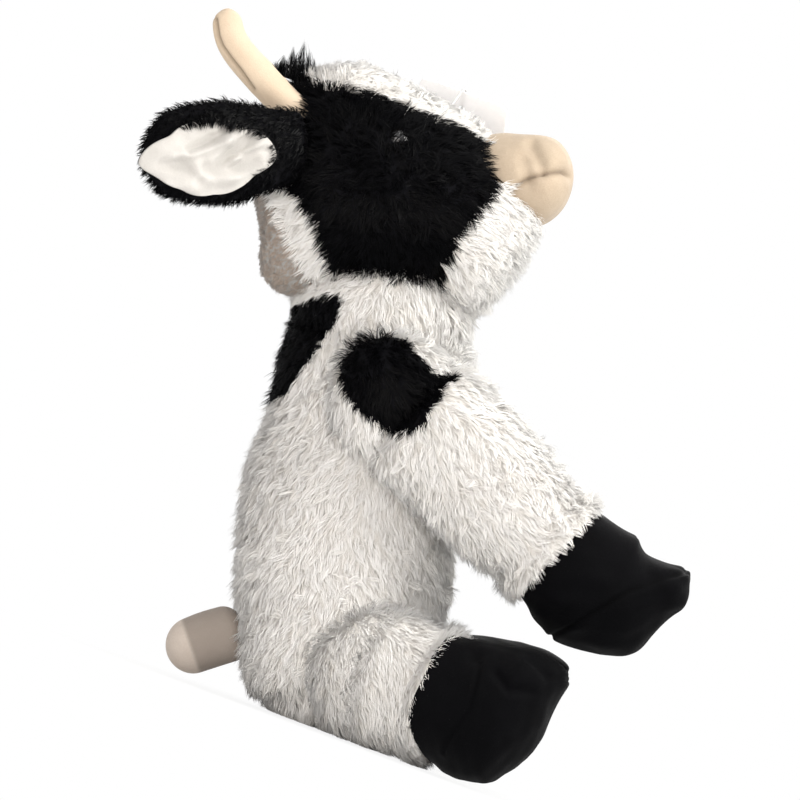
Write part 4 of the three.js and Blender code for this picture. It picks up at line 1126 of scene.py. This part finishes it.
def make_lining(side, way):
    """The ear's lining: short pile, crumpled in soft folds that run out from the root, with painted shade in the
    creases.
    """
    root, line, tall, face = ear_frame(way)
    turns, rings = 168, 44
    angle = np.linspace(-pi, pi, turns, endpoint=False)
    share = np.linspace(0, 1, rings + 1)[1:] ** 0.8
    reach = np.outer(share, lining_reach(angle))
    flat = np.stack([LINING_MIDDLE[0] + reach * np.cos(angle), LINING_MIDDLE[1] + reach * np.sin(angle)], -1)
    flat = np.vstack([[LINING_MIDDLE], flat.reshape(-1, 2)])
    edge = np.concatenate([[1.0], np.repeat(1 - share**6, turns)])
    bed = 7.4 * np.sqrt(np.clip(1 - (flat[:, 1] / 31) ** 2, 0.02, 1))
    bed *= np.sqrt(np.clip(1 - (np.clip(flat[:, 0] - 74, 0, 26) / 26) ** 2, 0.02, 1))
    fold = sum(-deep * np.exp(-(off_line(flat, path) / width) ** 2) for path, deep, width in LINING_CREASES)
    fold = fold + sum(high * np.exp(-(off_line(flat, path) / width) ** 2) for path, high, width in LINING_RIDGES)
    spots = np.column_stack([flat, np.zeros(len(flat))])
    fold = fold + ripples(spots, 13, 41) * 0.7 + ripples(spots, 30, 42) * 0.8
    depth = np.logaddexp(0, 1.5 * (2.6 + 1.8 * fold)) / 1.5
    out = bed + 0.4 + depth * edge
    front = root + flat[:, :1] * line + flat[:, 1:] * tall + out[:, None] * face
    back = front - face * LINING_THICK
    total, ring = len(front), np.arange(turns)
    following = (ring + 1) % turns
    quads = np.concatenate([np.column_stack([1 + r * turns + ring, 1 + (r + 1) * turns + ring,
                                             1 + (r + 1) * turns + following, 1 + r * turns + following])
                            for r in range(rings - 1)])
    tris = np.column_stack([np.zeros(turns, int), 1 + ring, 1 + following])
    last = 1 + (rings - 1) * turns
    rim = np.column_stack([last + ring, last + total + ring, last + total + following, last + following])
    faces = [quads, rim, quads[:, ::-1] + total, tris, tris[:, ::-1] + total]
    if way < 0:
        faces = [part[:, ::-1] for part in faces]
    # Painted shade in the lining's creases, darker the deeper the crease.
    darkened = np.tile(np.clip(-0.13 * fold, 0, 0.35) * edge, 2)
    made = patched(mesh_object(f"ear_lining_plush_{side}", np.vstack([front, back]), faces, LINING_PLUSH), darkened)
    stuffed(made, f"ear_{side}", [f"ear_lining_{side}"])


# ---- label, and the CAD nodes that stay
def make_label():
    """The sewn-in label: a blank satin tape folded in two, with both ends in the seam."""
    low, high = (np.array(corner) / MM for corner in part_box("care_label"))
    width, drop = high[0] - low[0], 34.0
    down = np.linspace(0, 1, 16)
    gap, turn = 1.5, np.linspace(0, pi, 9)[1:-1]
    profile = np.concatenate([
        np.column_stack([gap * (0.3 + 0.7 * down) + 0.8 * np.sin(down * 3), -drop * down]),
        np.column_stack([gap * np.cos(turn), -drop - gap * np.sin(turn)]),
        np.column_stack([-gap * (0.3 + 0.7 * down[::-1]) + 0.8 * np.sin(down[::-1] * 3), -drop * down[::-1]])])
    across = np.linspace(-0.5, 0.5, 10)
    lean, twist = radians(21), radians(9)
    forward = profile[:, 0] * cos(lean) - profile[:, 1] * sin(lean)
    up = profile[:, 1] * cos(lean) + profile[:, 0] * sin(lean)
    top = np.array([-high[1] - 6.5, high[2] - 3])
    y = top[0] + forward[:, None] + across * width * sin(twist)
    x, z = np.broadcast_to(across * width * cos(twist), y.shape), np.broadcast_to(top[1] + up[:, None], y.shape)
    points = np.stack([x, -y, z], -1).reshape(-1, 3)
    grid = np.arange(y.size).reshape(y.shape)
    quads = np.stack([grid[:-1, :-1], grid[1:, :-1], grid[1:, 1:], grid[:-1, 1:]], -1).reshape(-1, 4)
    made = mesh_object("sewn_label", points, [quads], LABEL)
    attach(made, "torso")
    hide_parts("care_label")


DRESS = {"eye_washer": CLEAR_PLASTIC, "tag_loop": CLEAR_PLASTIC, "hang_tag": CARD, "neck_stuffing": BACKING}


def dress_nodes():
    """Finishes for the CAD nodes that stay."""
    for name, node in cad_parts.items():
        for start, material in DRESS.items():
            if name.startswith(start):
                node.data.materials.clear()
                node.data.materials.append(material)


# ---- floor, world and lamps
WORLD_LIGHT = 0.58
FLOOR_WIDE = 3000
AIM, EYES = at(0, -20, 190), at(0, 40, 280)
# Name, place, what it lights, size in mm, watts and colour
LAMPS = [("key", at(-480, 860, 1080), AIM, 600, 14.5, (1, 0.985, 0.95)),
         ("fill", at(-1050, -300, 420), AIM, 900, 5.5, (1, 0.93, 0.87)),
         ("top", at(-150, 60, 1500), AIM, 900, 6.0, (1, 0.99, 0.96)),
         ("far", at(900, 300, 700), AIM, 900, 6.6, (1, 0.98, 0.96)),
         ("glint_left", at(1100, 100, 640), EYES, 60, 1.0, (1, 1, 1)),
         ("glint_right", at(-1100, 100, 640), EYES, 60, 1.0, (1, 1, 1))]


def make_floor():
    """A pale floor that the camera sees as white, but for a shadow near the cow."""
    tree = new_material("floor")
    colour = tree.between(tree.noise(8.0), (0.80, 0.80, 0.80), (0.84, 0.84, 0.84))
    material = tree.surface(Base_Color=colour, Roughness=0.9)
    reach = tree.add("VectorMath", {0: tree.add("TexCoord").outputs["Object"]}, operation="LENGTH")
    away = tree.add("MapRange", {"From Min": 0.06, "From Max": 0.20, "To Min": 0.88, "To Max": 1.0,
                                 "Value": reach.outputs["Value"]}, interpolation_type="SMOOTHSTEP")
    blend = tree.add("MixShader", {0: tree.math("MULTIPLY", tree.seen(), away.outputs["Result"]),
                                   1: tree.nodes["Principled BSDF"].outputs["BSDF"],
                                   2: tree.add("Emission", {"Strength": 1.0}).outputs["Emission"]})
    tree.put(tree.nodes["Material Output"].inputs["Surface"], blend.outputs["Shader"])
    angle = even_turn(96)
    rim = np.column_stack([np.cos(angle) * FLOOR_WIDE, np.sin(angle) * FLOOR_WIDE, np.full(len(angle), -0.5)])
    mesh_object("floor", rim, [np.arange(len(angle))[None]], material, smooth=False)


def make_light():
    world = bpy.data.worlds.new("studio")
    bpy.context.scene.world = world
    tree = Tree(world)
    background = tree.nodes["Background"]
    tree.put(background.inputs["Color"], (1, 1, 1))
    tree.put(background.inputs["Strength"], tree.math("MAXIMUM", tree.seen(), WORLD_LIGHT))
    for name, place, aim, size, power, colour in LAMPS:
        data = bpy.data.lights.new(name, "AREA")
        data.size, data.energy, data.color = size * MM, power, colour
        made = bpy.data.objects.new(name, data)
        made.location = Vector(place * MM)
        made.rotation_euler = Vector(aim - place).to_track_quat("-Z", "Y").to_euler()
        bpy.context.scene.collection.objects.link(made)


for make in (make_camera, make_torso, make_head, make_limbs, make_short_pile, make_ears, make_label, dress_nodes,
             make_floor, make_light):
    make()
bpy.context.scene.view_settings.view_transform = "Standard"
